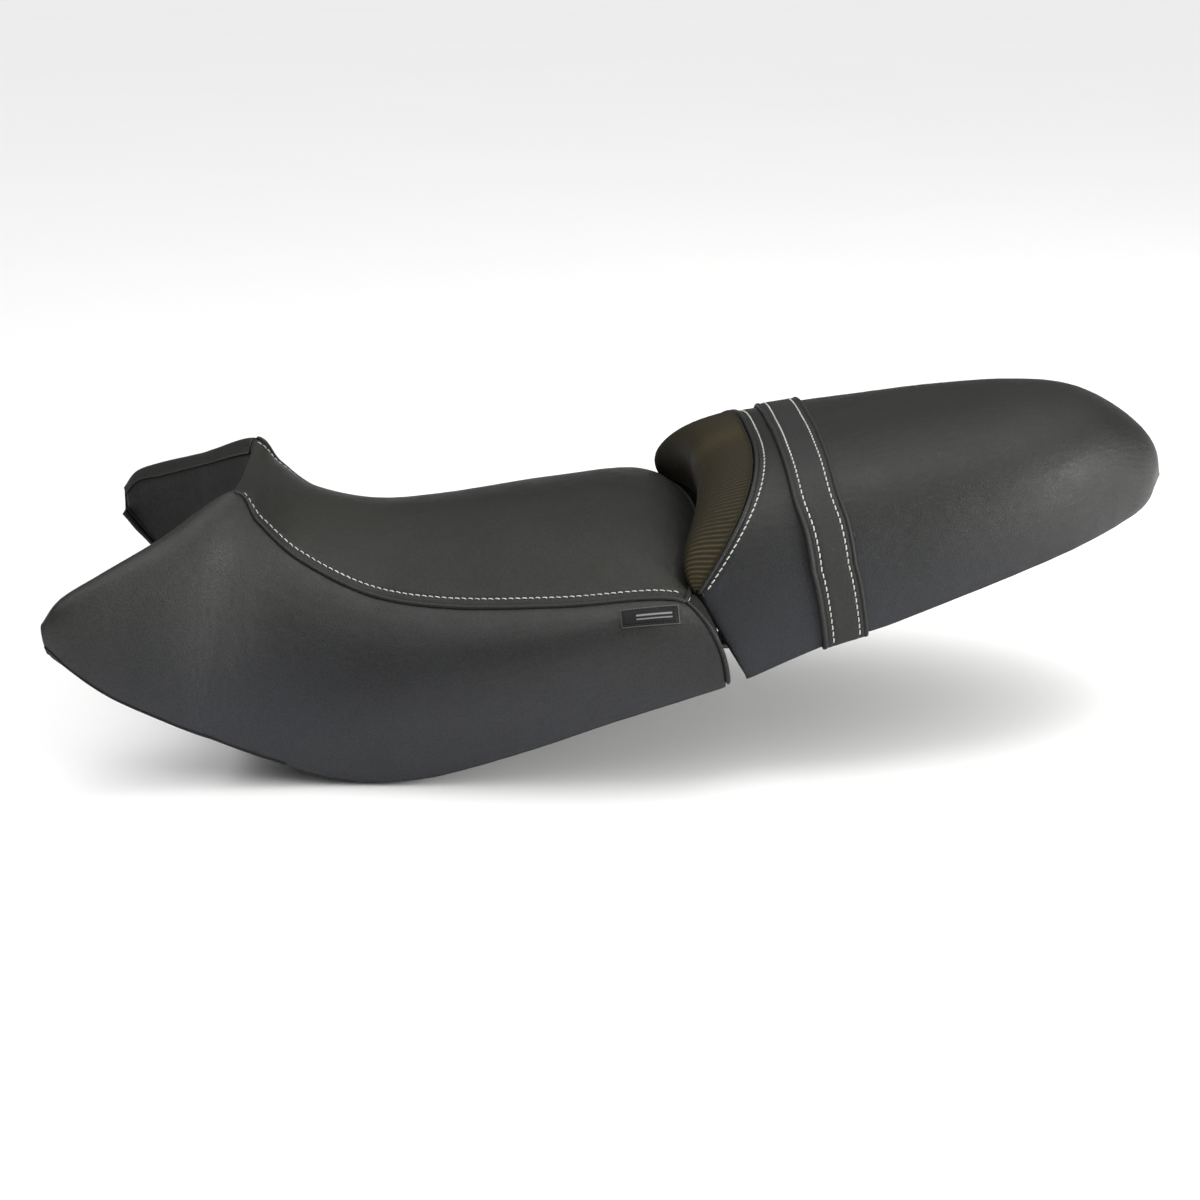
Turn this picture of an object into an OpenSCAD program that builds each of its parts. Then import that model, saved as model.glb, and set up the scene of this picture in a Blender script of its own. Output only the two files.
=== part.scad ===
// Two-piece padded motorcycle seat with a rider section and a lifting passenger section.
// +X points to the rear of the seat, +Y to the rider's right, +Z up, in millimetres.
// The origin is the middle of the two rear bolt holes of the rider section.

/* [Covers] */
// Thickness of the vinyl with its backing
cover_t = 3; // [2:0.5:3.5]
// Radius of the piping cord in the seams
piping_r = 2; // [1.6:0.1:2.2]
// Distance of the stitch line from a seam
stitch_inset = 8; // [6:0.5:10]
// Width of the folded hem under the edge
hem_w = 15; // [10:1:18]

/* [Grab strap] */
// Width of the strap
strap_w = 34; // [28:1:38]
// Thickness of the strap
strap_t = 2.4; // [2:0.2:3]
// Free gap between the strap and the cover
strap_gap = 0.8; // [0.6:0.1:2]

/* [Base pans] */
// Wall thickness of both plastic base pans
pan_t = 3; // [2.5:0.5:4]

/* [Rider section fixings] */
// Distance between the two rear bolt holes
bolt_spacing = 120; // [100:5:130]
// Radius of the rear bolt holes
bolt_r = 3.3; // [2.6:0.1:4.3]
// Width of the front tongue
tongue_w = 50; // [40:5:60]

/* [Passenger section fixings] */
// Position of the rear hinge axis along the seat
axis_x = 240; // [230:1:250]
// Height of the rear hinge axis
axis_z = 72; // [68:1:76]
// Inner radius of the two rear hooks
hook_r = 6.1; // [5:0.1:7]
// Distance between the middles of the two hooks
hook_spacing = 60; // [50:5:66]
// Radius of the front latch pin
pin_r = 5; // [4:0.5:6]

/* [Hidden] */
eps = 0.01;
CORNER = 1 / 3;

// Rider crest from the wing tip to the front corner, then the side seam to the rear corner
rim = [
  [-508, 157, 60], [-495, 153, 76], [-470, 138, 88], [-431, 110, 104],
  [-382, 72, 127], [-364, 75, 105], [-335, 84, 79], [-283, 104, 58],
  [-225, 122, 54], [-146, 140, 60], [-89, 148, 67], [-66, 151, 68], [-56, 150, 65]
];
// Rider lower hem from the wing tip to the rear corner
hem = [
  [-508, 157, 43], [-492, 155, 23], [-466, 150, -1], [-422, 143, -28],
  [-398, 138, -41], [-366, 136, -56], [-309, 135, -76], [-250, 138, -76],
  [-176, 146, -53], [-111, 154, -27], [-24, 158, 3]
];
// Turn-down angle of the side surface at the crest and at the seam
turn = [8, 8, 8, 10, 18, 30, 36, 36, 32, 30, 30, 30, 28];
// Crown of the rider seat along the middle, x and z
crown = [
  [-380, 122], [-358, 112], [-330, 98], [-283, 89], [-225, 91],
  [-146, 101], [-89, 105], [-58, 98], [-34, 81]
];
// Upper and lower edges of the tank-side panel, wing tip to the middle
lip = [
  [-506, 151, 56], [-493, 145, 70], [-468, 128, 80], [-430, 99, 97],
  [-387, 61, 117], [-384, 30, 114], [-384, 0, 113]
];
foot = [
  [-506, 151, 44], [-486, 141, 23], [-460, 133, -3], [-421, 120, -30],
  [-390, 95, -32], [-382, 50, -20], [-380, 0, -16]
];
// Passenger crown, x and z
back = [
  [4, 149], [58, 158], [114, 166], [170, 173], [220, 178], [262, 175],
  [296, 159], [319, 137], [331, 107]
];
// Passenger lower hem from the front corner to the tail
skirt = [
  [-10, 142, 1], [45, 140, 25], [92, 135, 38], [140, 128, 54], [190, 116, 69],
  [238, 98, 82], [279, 71, 91], [309, 42, 98], [331, 0, 107]
];
// Squareness of the passenger sections, front to tail
square = [3.1, 3, 2.9, 2.8, 2.7, 2.6, 2.5, 2.4, 2.3];
tip_v = 0.82;
tip_x = 38.5;
// Station of the strap from the crown down to the hem
strap_line = [0.074, 0.077, 0.088, 0.105, 0.132, 0.154, 0.168];

// Smooth curve through a list of points
function cr(P, t) =
  let(n = len(P) - 1, u = max(0, min(1, t)) * n, i = min(floor(u), n - 1), f = u - i,
      b = P[i], c = P[i + 1],
      a = i > 0 ? P[i - 1] : 2 * b - c,
      d = i < n - 1 ? P[i + 2] : 2 * c - b)
  0.5 * (2 * b + (c - a) * f + (2 * a - 5 * b + 4 * c - d) * f * f
         + (3 * b - a - 3 * c + d) * f * f * f);
function mix(a, b, t) = a + (b - a) * t;
function steps(a, b, n) = [for (i = [0 : n]) a + (b - a) * i / n];
function sgn(a) = a < 0 ? -1 : 1;

// Rider surfaces, left side
function side(s, v) =
  let(u = cr(rim, s), h = cr(hem, s), al = cr(turn, s), L = u[2] - h[2],
      p0 = [u[1], u[2]], p3 = [h[1], h[2]],
      p1 = p0 + 0.36 * L * [cos(al), -sin(al)],
      p2 = p3 + 0.3 * L * [sin(12), cos(12)],
      w = 1 - v,
      q = w * w * w * p0 + 3 * v * w * w * p1 + 3 * v * v * w * p2 + v * v * v * p3)
  [u[0] + (h[0] - u[0]) * (1 - w * w), -q[0], q[1]];
function crest(s, r) =
  let(a = cr(rim, s), b = cr(lip, 2 * s), w = 1 - r,
      m = [mix(a[0], b[0], 0.7), mix(a[1], b[1], 0.55), a[2] + 2],
      q = w * w * a + 2 * r * w * m + r * r * b)
  [q[0], -q[1], q[2]];
function deck(t, u) =
  let(a = cr(rim, CORNER + (1 - CORNER) * t), c = cr(crown, t))
  [mix(c[0], a[0], u * u), a[1] * u, a[2] + (c[1] - a[2]) * (1 - pow(abs(u), 2.2))];
function nose(u, r) =
  let(a = deck(0, u), b0 = cr(lip, 1 - abs(u) / 3), b = [b0[0], b0[1] * sgn(u), b0[2]],
      m = [mix(a[0], b[0], 0.7), mix(a[1], b[1], 0.55), a[2] + 2], w = 1 - r)
  w * w * a + 2 * r * w * m + r * r * b;
function dash(q, v) =
  let(k = q <= 1 ? q : 2 - q, a = cr(lip, k), b = cr(foot, k), p = mix(a, b, v))
  [p[0], q <= 1 ? -p[1] : p[1], p[2]];
function rump(u, r) =
  let(a = deck(1, u), h = hem[10], d = [-26 + (h[0] + 26) * u * u, h[1] * u, mix(8, h[2], u * u)],
      e = side(1, r), m = mix(deck(1, 1), h, r), k = pow(abs(u), 4))
  mix(a, d, r) + k * [e[0] - m[0], (-e[1] - m[1]) * sgn(u), e[2] - m[2]];

// Passenger surfaces
function shell(s, v) =
  let(k = cr(back, s), g = cr(skirt, s), n = 2 / cr(square, s), a = abs(v) * 90,
      sy = pow(max(0, sin(a)), n), cz = pow(max(0, cos(a)), n),
      ct = pow(cos(tip_v * 90), n),
      b = abs(v) < tip_v ? pow(abs(v) / tip_v, 3) : cz / ct,
      f = pow(max(0, 1 - s / 0.32), 3))
  [k[0] + (g[0] - k[0]) * pow(sin(a), 2) - tip_x * b * f, g[1] * sy * sgn(v),
   g[2] + (k[1] - g[2]) * cz];
function sill(v) =
  let(p = shell(0, v), t = shell(0, tip_v), c = abs(p[1]) / t[1])
  [mix(-26, t[0], c * c), p[1], mix(82, t[2], pow(c, 2.2))];
function ramp(v, r) =
  let(a = shell(0, v), b = sill(v), c = abs(v) / tip_v)
  mix(a, b, r) + 26 * sin(180 * r) * (1 - pow(c, 8)) * [-0.9, 0, 0.45];
function apron(u, r) =
  let(a = sill(u * tip_v), h = skirt[0], d = [-13 + (h[0] + 13) * u * u, h[1] * u, mix(16, h[2], u * u)],
      e = shell(0, mix(tip_v, 1, r)), m = mix(shell(0, tip_v), h, r),
      k = pow(abs(u), 4))
  mix(a, d, r) + k * [e[0] - m[0] + 3.5 * sin(180 * r), (e[1] - m[1]) * sgn(u), e[2] - m[2]];
function band(v, w) =
  let(s = cr(strap_line, abs(v)), p = shell(s + 0.02, v), q = shell(s - 0.02, v))
  shell(s + 0.04 * w / norm(p - q), v);

// Unit normal of a surface at one place, with the side it points to chosen by the sign
function normal(f, a, b, lim) =
  let(e = 0.004,
      a0 = max(lim[0], a - e), a1 = min(lim[1], a + e),
      b0 = max(lim[2], b - e), b1 = min(lim[3], b + e),
      n = cross(f(a1, b) - f(a0, b), f(a, b1) - f(a, b0)))
  norm(n) < 1e-7 ? [1, 0, 0] : n / norm(n);
function lay(f, A, B, d, lim) =
  [for (a = A) [for (b = B) f(a, b) + d * normal(f, a, b, lim)]];

// Closed solid between two point grids of the same size
module skin(G0, G1) {
  n = len(G0);
  m = len(G0[0]);
  P = concat([for (r = G0) for (p = r) p], [for (r = G1) for (p = r) p]);
  k = n * m;
  F = concat(
    [for (i = [0 : n - 2]) for (j = [0 : m - 2])
      for (t = [[0, 1, m + 1], [0, m + 1, m]]) [for (c = t) i * m + j + c]],
    [for (i = [0 : n - 2]) for (j = [0 : m - 2])
      for (t = [[0, m + 1, 1], [0, m, m + 1]]) [for (c = t) k + i * m + j + c]],
    [for (j = [0 : m - 2]) for (t = [[j, k + j, k + j + 1], [j, k + j + 1, j + 1]]) t],
    [for (j = [0 : m - 2]) let(o = (n - 1) * m)
      for (t = [[o + j, o + j + 1, k + o + j + 1], [o + j, k + o + j + 1, k + o + j]]) t],
    [for (i = [0 : n - 2]) let(a = i * m, b = a + m)
      for (t = [[a, b, k + b], [a, k + b, k + a]]) t],
    [for (i = [0 : n - 2]) let(a = i * m + m - 1, b = a + m)
      for (t = [[a, k + b, b], [a, k + a, k + b]]) t]
  );
  body(P, F);
}
// Polyhedron whose faces are turned outwards
module body(P, F) {
  G = [for (f = F) if (P[f[0]] != P[f[1]] && P[f[1]] != P[f[2]] && P[f[2]] != P[f[0]]) f];
  v = [for (f = G) P[f[0]] * cross(P[f[1]], P[f[2]])];
  sum = v * [for (x = v) 1];
  if (sum < 0) {
    polyhedron(P, G, convexity = 8);
  } else {
    polyhedron(P, [for (f = G) [f[2], f[1], f[0]]], convexity = 8);
  }
}
// Closed solid through a row of closed loops, with pointed or flat ends
module loft(L, c0, c1) {
  n = len(L);
  m = len(L[0]);
  P = concat([for (r = L) for (p = r) p], [c0, c1]);
  F = concat(
    [for (i = [0 : n - 2]) for (j = [0 : m - 1]) let(q = (j + 1) % m)
      for (t = [[i * m + j, i * m + q, i * m + m + q], [i * m + j, i * m + m + q, i * m + m + j]]) t],
    [for (j = [0 : m - 1]) [n * m, (j + 1) % m, j]],
    [for (j = [0 : m - 1]) let(o = (n - 1) * m) [n * m + 1, o + j, o + (j + 1) % m]]
  );
  body(P, F);
}
// Thin cord along a path
module cord(path, r, k) {
  n = len(path);
  L = [for (i = [0 : n - 1])
    let(t = path[min(n - 1, i + 1)] - path[max(0, i - 1)], d = t / norm(t),
        x = cross(d, abs(d[2]) < 0.9 ? [0, 0, 1] : [0, 1, 0]), e = x / norm(x), g = cross(d, e))
    [for (j = [0 : k - 1]) path[i] + r * (cos(360 * j / k) * e + sin(360 * j / k) * g)]];
  loft(L, path[0], path[n - 1]);
}

UNIT = [0, 1, 0, 1];
BOTH = [0, 1, -1, 1];
// Start of the side panel below the seam, and of the deck beside it
function seam_v(s) = 2.5 / (1.08 * (cr(rim, s)[2] - cr(hem, s)[2]));
function side_at(s, v) = side(s, mix(seam_v(s), 1, v));
function deck_at(t, u) =
  let(w = cr(rim, CORNER + (1 - CORNER) * t)[1])
  deck(t, u * (1 - 2.5 / w));

module left_side() {
  S0 = steps(0, CORNER, 9);
  S1 = steps(CORNER, 0.994, 15);
  V = [0, 0.05, 0.12, 0.2, 0.3, 0.42, 0.55, 0.68, 0.82, 0.92, 1];
  R = [1, 0.75, 0.5, 0.25];
  function row0(s, d) = concat(
    [for (r = R) crest(s, r) + d * normal(function(a, b) crest(a, b), s, r, [0, CORNER, 0, 1])],
    [for (v = V) side(s, v) - d * normal(function(a, b) side(a, b), s, v, UNIT)]);
  skin([for (s = S0) row0(s, 0)], [for (s = S0) row0(s, -cover_t)]);
  f = function(s, v) side_at(s, v);
  skin(lay(f, S1, V, 0, UNIT), lay(f, S1, V, cover_t, UNIT));
  hem_fold(function(s) let(h = cr(hem, s)) [h[0], -h[1], h[2]], steps(0.26, 0.985, 20));
}
// Edge of the cover turned in under the pan
module hem_fold(f, S) {
  function at(s, r, z) = let(h = f(s)) [h[0], h[1] - sgn(h[1]) * r, h[2] + z];
  skin([for (s = S) [at(s, 0, -0.3), at(s, hem_w, -0.3)]],
       [for (s = S) [at(s, 0, -1.8), at(s, hem_w, -1.8)]]);
}
// Outline solid of the rider section, moved in by d from the outer surface
module rider_core(d, drop, e = 0) {
  S = concat(steps(0.02, CORNER, 7), steps(CORNER + 0.045, 0.965 - e, 12));
  V = [0.985, 0.85, 0.68, 0.5, 0.32, 0.16, 0.05];
  U = [-0.97, -0.8, -0.55, -0.28, 0, 0.28, 0.55, 0.8, 0.97];
  fs = function(a, b) side(a, b);
  fd = function(a, b) deck(a, b);
  function left(s) = [for (v = V) side(s, v) + d * normal(fs, s, v, UNIT)];
  function flip(P) = [for (i = [len(P) - 1 : -1 : 0]) [P[i][0], -P[i][1], P[i][2]]];
  function mid(s) = s < CORNER + eps
    ? [for (u = U) let(p = cr(rim, s)) [p[0], p[1] * u, p[2] - d]]
    : [for (u = U) let(t = (s - CORNER) / (1 - CORNER)) deck(t, u) - d * normal(fd, t, u, BOTH)];
  L = [for (s = S) let(l = left(s), h = l[0])
    concat([[h[0], h[1], h[2] - drop]], l, mid(s), flip(l), [[h[0], -h[1], h[2] - drop]])];
  n = len(L) - 1;
  difference() {
    loft(L, [-509, 0, 20], [L[n][11][0], 0, 20]);
    tank_side(d);
  }
}
// Everything in front of the tank-side panel, grown by d
module tank_side(d) {
  Q = concat([0.02], steps(0.08, 1.92, 22), [1.98]);
  f = function(q, v) dash(q, v);
  function p(q, v) = dash(q, v) - d * normal(f, q, 0.5, [0, 2, 0, 1]);
  A = [for (q = Q) let(a = p(q, 0), b = p(q, 1)) [a + [0, 0, 60], a, b, b - [0, 0, 90]]];
  e = A[0];
  g = A[len(A) - 1];
  B = concat([[for (x = e) x + [-30, -12, 0]]], A, [[for (x = g) x + [-30, 12, 0]]]);
  skin(B, [for (r = B) [for (x = r) [-640, x[1], x[2]]]]);
}
module below(profile, low) {
  rotate([90, 0, 0]) linear_extrude(400, center = true)
    polygon(concat(profile, [[profile[len(profile) - 1][0], low], [profile[0][0], low]]));
}
rider_roof = [[-375, 40], [-330, 26], [-260, 16], [-180, 18], [-110, 28], [-30, 34]];
function lower(P, d) = [for (p = P) [p[0], p[1] - d]];

module rider_base_pan() {
  color([0.09, 0.09, 0.1]) difference() {
    union() {
      difference() {
        intersection() {
          rider_core(8.2, 0);
          below(rider_roof, -140);
        }
        intersection() {
          rider_core(8.2 + pan_t, 60, 0.015);
          below(lower(rider_roof, pan_t), -200);
        }
        translate([-710, -300, -200]) cube([350, 600, 400]);
      }
      // Upright blade behind the tank-side panel
      f = function(q, v) dash(q, v);
      Q = steps(0.12, 1.88, 28);
      V = [0.1, 0.4, 0.7, 0.96];
      skin(lay(f, Q, V, -2.8, [0, 2, 0, 1]), lay(f, Q, V, -2.8 - pan_t, [0, 2, 0, 1]));
      // Front shelf and stiffening ribs
      translate([-376, -88, 22]) cube([22, 176, 3]);
      translate([-359, -88, 22]) cube([5, 176, 11]);
      for (y = [-50, 50]) translate([-300, y - 1.5, 2]) cube([180, 3, 12.6]);
      translate([-301.5, -100, 6]) cube([3, 200, 14]);
      translate([-121.5, -100, 6]) cube([3, 200, 19]);
      // Bosses for the tongue, the bracket and the bumpers
      for (y = [-15, 15]) translate([-345, y, -24.7]) cylinder(h = 53, r = 8, $fn = 32);
      for (y = [-1, 1]) translate([-64, y * bolt_spacing / 2, 0.3])
        cylinder(h = 30, r = 9, $fn = 32);
      for (y = [-95, 95]) {
        translate([-318, y, -36]) cylinder(h = 58, r = 13, $fn = 36);
        translate([-110, y, -6]) cylinder(h = 32, r = 13, $fn = 36);
      }
    }
    for (y = [-15, 15]) translate([-345, y, -26]) cylinder(h = 22, r = 2.7, $fn = 24);
    for (y = [-1, 1]) translate([0, y * bolt_spacing / 2, 0]) {
      translate([-64, 0, -1]) cylinder(h = 22, r = 3, $fn = 24);
      translate([-82, -14.4, -7]) cube([60, 28.8, 7.3]);
    }
    for (y = [-95, 95]) {
      translate([-318, y, -37]) cylinder(h = 16, r = 4.3, $fn = 24);
      translate([-110, y, -7]) cylinder(h = 16, r = 4.3, $fn = 24);
    }
  }
}
module rider_foam() {
  color([0.85, 0.8, 0.55]) difference() {
    rider_core(4.5, 0);
    difference() {
      intersection() {
        rider_core(7.8, 60);
        below(lower(rider_roof, -0.4), -200);
      }
      translate([-710, -300, -200]) cube([349, 600, 400]);
    }
    translate([-420, -88.5, -140]) cube([62, 177, 165.5]);
    f = function(q, v) dash(q, v);
    Q = steps(0.1, 1.9, 28);
    V = [0, 0.3, 0.7, 1];
    skin(lay(f, Q, V, -1, [0, 2, 0, 1]), lay(f, Q, V, -3.4 - pan_t, [0, 2, 0, 1]));
    translate([-700, -300, -300]) cube([300, 600, 200]);
  }
}
module rider_top_cover() {
  U = [-1, -0.93, -0.84, -0.72, -0.56, -0.38, -0.19, 0, 0.19, 0.38, 0.56, 0.72, 0.84, 0.93, 1];
  fd = function(t, u) deck_at(t, u);
  fn = function(u, r) nose(u, r);
  function rows(d) = concat(
    [for (r = [1, 0.7, 0.4]) [for (u = U) let(w = u * 0.98)
      nose(w, r) + d * normal(fn, w, r, [-1, 1, 0, 1])]],
    lay(fd, steps(0, 0.982, 20), U, d, BOTH));
  color([0.13, 0.13, 0.12]) skin(rows(0), rows(-cover_t));
}
module rider_left_side_cover() {
  color([0.12, 0.12, 0.13]) left_side();
}
module rider_right_side_cover() {
  color([0.12, 0.12, 0.13]) mirror([0, 1, 0]) left_side();
}
module rider_front_cover() {
  f = function(q, v) dash(q, v);
  Q = steps(0.01, 1.99, 36);
  V = [0.015, 0.25, 0.5, 0.75, 1];
  color([0.1, 0.1, 0.11]) skin(lay(f, Q, V, 0, [0, 2, 0, 1]), lay(f, Q, V, -2, [0, 2, 0, 1]));
}
module rider_rear_cover() {
  f = function(u, r) rump(u, r);
  U = steps(-0.985, 0.985, 16);
  V = [0.04, 0.25, 0.5, 0.75, 1];
  lim = [-1, 1, 0, 1];
  color([0.1, 0.1, 0.11]) skin(lay(f, U, V, 0, lim), lay(f, U, V, 2, lim));
}
function seam_path() = [for (s = steps(CORNER + 0.006, 0.986, 34))
  let(p = side(s, 0), n = normal(function(a, b) side(a, b), s, 0.02, UNIT)) p + 0.6 * n];
module rider_left_piping() {
  color([0.06, 0.06, 0.06]) cord(seam_path(), piping_r, 8);
}
module rider_right_piping() {
  color([0.06, 0.06, 0.06]) mirror([0, 1, 0]) cord(seam_path(), piping_r, 8);
}
module rider_rear_piping() {
  P = [for (u = steps(-0.975, 0.975, 26)) deck(1, u) + [-0.4, 0, -0.4]];
  color([0.06, 0.06, 0.06]) cord(P, piping_r, 8);
}
function deck_stitch() = [for (t = steps(0.012, 0.975, 44))
  let(w = cr(rim, CORNER + (1 - CORNER) * t)[1], u = -(1 - stitch_inset / w),
      n = normal(function(a, b) deck(a, b), t, u, BOTH)) deck(t, u) + 1 * n];
module rider_left_stitching() {
  color([0.9, 0.9, 0.88]) cord(deck_stitch(), 0.5, 4);
}
module rider_right_stitching() {
  color([0.9, 0.9, 0.88]) mirror([0, 1, 0]) cord(deck_stitch(), 0.5, 4);
}
// Blank sewn tag under the left seam
module label_tag() {
  f = function(a, b) side(mix(0.833, 0.922, a) + 0.03 * b, mix(0.09, 0.2, b));
  A = steps(0, 1, 6);
  B = steps(0, 1, 3);
  color([0.03, 0.03, 0.03]) skin(lay(f, A, B, -0.4, UNIT), lay(f, A, B, -1.4, UNIT));
}
module rider_front_tongue() {
  color([0.55, 0.56, 0.58]) difference() {
    union() {
      translate([-412, -tongue_w / 2, -28]) cube([82, tongue_w, 3]);
      translate([-411, -tongue_w / 2, -28]) rotate([0, 15, 0])
        translate([-12, 0, 0]) cube([12, tongue_w, 3]);
    }
    for (y = [-15, 15]) translate([-345, y, -30]) cylinder(h = 8, r = 2.9, $fn = 28);
  }
}
module rider_tongue_screws() {
  color([0.7, 0.7, 0.72]) for (y = [-15, 15]) translate([-345, y, 0]) {
    translate([0, 0, -27.9]) cylinder(h = 20, r = 2.4, $fn = 24);
    translate([0, 0, -31.2]) cylinder(h = 3.1, r = 5, $fn = 28);
  }
}
module rider_rear_bracket() {
  color([0.5, 0.51, 0.53]) difference() {
    union() {
      translate([-14, -bolt_spacing / 2 - 20, -3]) cube([28, bolt_spacing + 40, 3]);
      for (y = [-1, 1]) translate([-80, y * bolt_spacing / 2 - 14, -3]) cube([68, 28, 3]);
    }
    for (y = [-1, 1]) translate([0, y * bolt_spacing / 2, -5])
      cylinder(h = 10, r = bolt_r, $fn = 40);
    for (y = [-1, 1]) translate([-64, y * bolt_spacing / 2, -5])
      cylinder(h = 10, r = 3.2, $fn = 28);
  }
}
module rider_bracket_rivets() {
  color([0.7, 0.7, 0.72]) for (y = [-1, 1]) translate([-64, y * bolt_spacing / 2, 0]) {
    translate([0, 0, -3.1]) cylinder(h = 22, r = 2.7, $fn = 24);
    translate([0, 0, -6.4]) cylinder(h = 3.1, r = 6, $fn = 28);
  }
}
module foot_pad(h) {
  translate([0, 0, -h]) cylinder(h = h - 0.3, r = 11, $fn = 36);
  translate([0, 0, -1]) cylinder(h = 13, r = 4, $fn = 24);
}
module rider_bumpers() {
  color([0.05, 0.05, 0.05]) for (y = [-95, 95]) {
    translate([-318, y, -36]) foot_pad(12);
    translate([-110, y, -6]) foot_pad(12);
  }
}
// Staples that hold the folded hem under the pan edge
module staple_row(f, S, inset) {
  for (s = S) let(h = f(s), k = f(s + 0.01), a = atan2(k[1] - h[1], k[0] - h[0]),
                  b = atan2(k[2] - h[2], norm([k[0] - h[0], k[1] - h[1]])))
    translate([h[0], h[1] - sgn(h[1]) * inset, h[2] - 2.2]) rotate([0, -b, a])
      translate([-5, -0.6, -0.9]) cube([10, 1.2, 0.9]);
}
module rider_staples() {
  f = function(s) let(h = cr(hem, s)) [h[0], -h[1], h[2]];
  color([0.75, 0.75, 0.78]) {
    staple_row(f, steps(0.34, 0.95, 13), 11);
    mirror([0, 1, 0]) staple_row(f, steps(0.34, 0.95, 13), 11);
  }
}

// Outline solid of the passenger section, moved in by d from the outer surface
module passenger_core(d, drop, e = 0) {
  S = [0.02 + e, 0.06, 0.12, 0.2, 0.29, 0.38, 0.48, 0.58, 0.68, 0.77, 0.85, 0.91, 0.955 - e];
  V = [-0.985, -0.93, -0.82, -0.7, -0.56, -0.42, -0.28, -0.14, 0, 0.14, 0.28, 0.42, 0.56, 0.7,
       0.82, 0.93, 0.985];
  f = function(a, b) shell(a, b);
  L = [for (s = S) let(l = [for (v = V) shell(s, v) - d * normal(f, s, v, [0, 0.98, -1, 1])],
                       a = l[0], b = l[len(l) - 1])
    concat([[a[0], a[1], a[2] - drop]], l, [[b[0], b[1], b[2] - drop]])];
  g = L[len(L) - 1][9];
  loft(L, [-8 + d * 0.6 + e * 200, 0, 72], [g[0] + 2, 0, g[2] - 12]);
}
passenger_roof = [[-60, 70], [60, 84], [150, 98], [240, 108], [340, 106]];

module passenger_base_pan() {
  color([0.09, 0.09, 0.1]) difference() {
    union() {
      difference() {
        intersection() {
          passenger_core(8.2, 0, 0.01);
          below(passenger_roof, -60);
        }
        intersection() {
          passenger_core(8.2 + pan_t, 60, 0.02);
          below(lower(passenger_roof, pan_t), -90);
        }
      }
      // Stiffening ribs
      for (y = [-52, 52]) intersection() {
        passenger_core(8.2 + pan_t / 2, 0);
        translate([10, y - 1.5, 0]) below_rib();
      }
      // Tower for the latch pin, pads for the hooks and seats for the bumpers
      translate([45, 0, 34.3]) cylinder(h = 44.5, r = 22, $fn = 48);
      for (y = [-1, 1]) translate([axis_x - 32, y * hook_spacing / 2 - 15, 92.3])
        cube([34, 30, 10]);
      for (y = [-80, 80]) translate([110, y, 56]) cylinder(h = 34, r = 12, $fn = 36);
      for (y = [-58, 58]) translate([205, y, 82]) cylinder(h = 20, r = 12, $fn = 36);
      for (k = [-1, 1]) anchor_frame(k) translate([0, 0, 2.8]) cylinder(h = 52.2, r = 8, $fn = 32);
    }
    translate([45, 0, 33]) cylinder(h = 20, r = 5.4, $fn = 32);
    for (a = [0, 120, 240]) translate([45, 0, 33]) rotate([0, 0, a + 60]) translate([15, 0, 0])
      cylinder(h = 16, r = 2.3, $fn = 20);
    for (y = [-1, 1]) for (x = [-24, -8])
      translate([axis_x + x, y * hook_spacing / 2, 91]) cylinder(h = 11, r = 2.3, $fn = 20);
    for (y = [-80, 80]) translate([110, y, 55]) cylinder(h = 16, r = 4.3, $fn = 24);
    for (y = [-58, 58]) translate([205, y, 81]) cylinder(h = 16, r = 4.3, $fn = 24);
    for (k = [-1, 1]) anchor_frame(k) translate([0, 0, -4]) cylinder(h = 22, r = 2.3, $fn = 20);
  }
}
module below_rib() {
  rotate([90, 0, 0]) translate([0, 0, -3]) linear_extrude(3)
    polygon([[0, 58], [50, 66], [140, 80], [230, 92], [290, 96], [290, 104], [230, 106],
             [140, 96], [50, 82], [0, 76]]);
}
module passenger_foam() {
  color([0.85, 0.8, 0.55]) difference() {
    passenger_core(4.5, 0);
    intersection() {
      passenger_core(7.8, 60);
      below(lower(passenger_roof, -0.4), -90);
    }
  }
}
module passenger_main_cover() {
  f = function(s, v) shell(s, v);
  S = [0.008, 0.03, 0.06, 0.1, 0.14, 0.18, 0.23, 0.29, 0.35, 0.42, 0.49, 0.56, 0.63, 0.7,
       0.76, 0.82, 0.87, 0.91, 0.94, 0.965, 0.985, 1];
  H = [0, 0.1, 0.2, 0.3, 0.4, 0.5, 0.6, 0.69, 0.77, 0.84, 0.9, 0.95, 1];
  V = concat([for (i = [12 : -1 : 1]) -H[i]], H);
  lim = [0, 0.995, -1, 1];
  color([0.12, 0.12, 0.12]) {
    skin(lay(f, S, V, 0, lim), lay(f, S, V, -cover_t, lim));
    for (k = [-1, 1]) for (r = [[0.02, 0.11, 3], [0.235, 0.87, 15]])
      hem_fold(function(s) let(h = cr(skirt, s)) [h[0], k * h[1], h[2]], steps(r[0], r[1], r[2]));
  }
}
module passenger_insert() {
  f = function(v, r) ramp(v, r);
  V = steps(-tip_v * 0.945, tip_v * 0.945, 20);
  R = [0.055, 0.2, 0.4, 0.6, 0.8, 0.97];
  lim = [-tip_v, tip_v, 0, 1];
  color([0.17, 0.15, 0.1]) skin(lay(f, V, R, 0, lim), lay(f, V, R, -2, lim));
}
module passenger_front_cover() {
  f = function(u, r) apron(u, r);
  U = steps(-0.975, 0.975, 16);
  V = [0.03, 0.25, 0.5, 0.75, 1];
  lim = [-1, 1, 0, 1];
  color([0.1, 0.1, 0.11]) skin(lay(f, U, V, 0, lim), lay(f, U, V, -2, lim));
}
module insert_piping() {
  P = [for (v = steps(-tip_v, tip_v, 48)) shell(0, v) + [0.6, 0, -0.4]];
  color([0.06, 0.06, 0.06]) cord(P, piping_r, 8);
}
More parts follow.
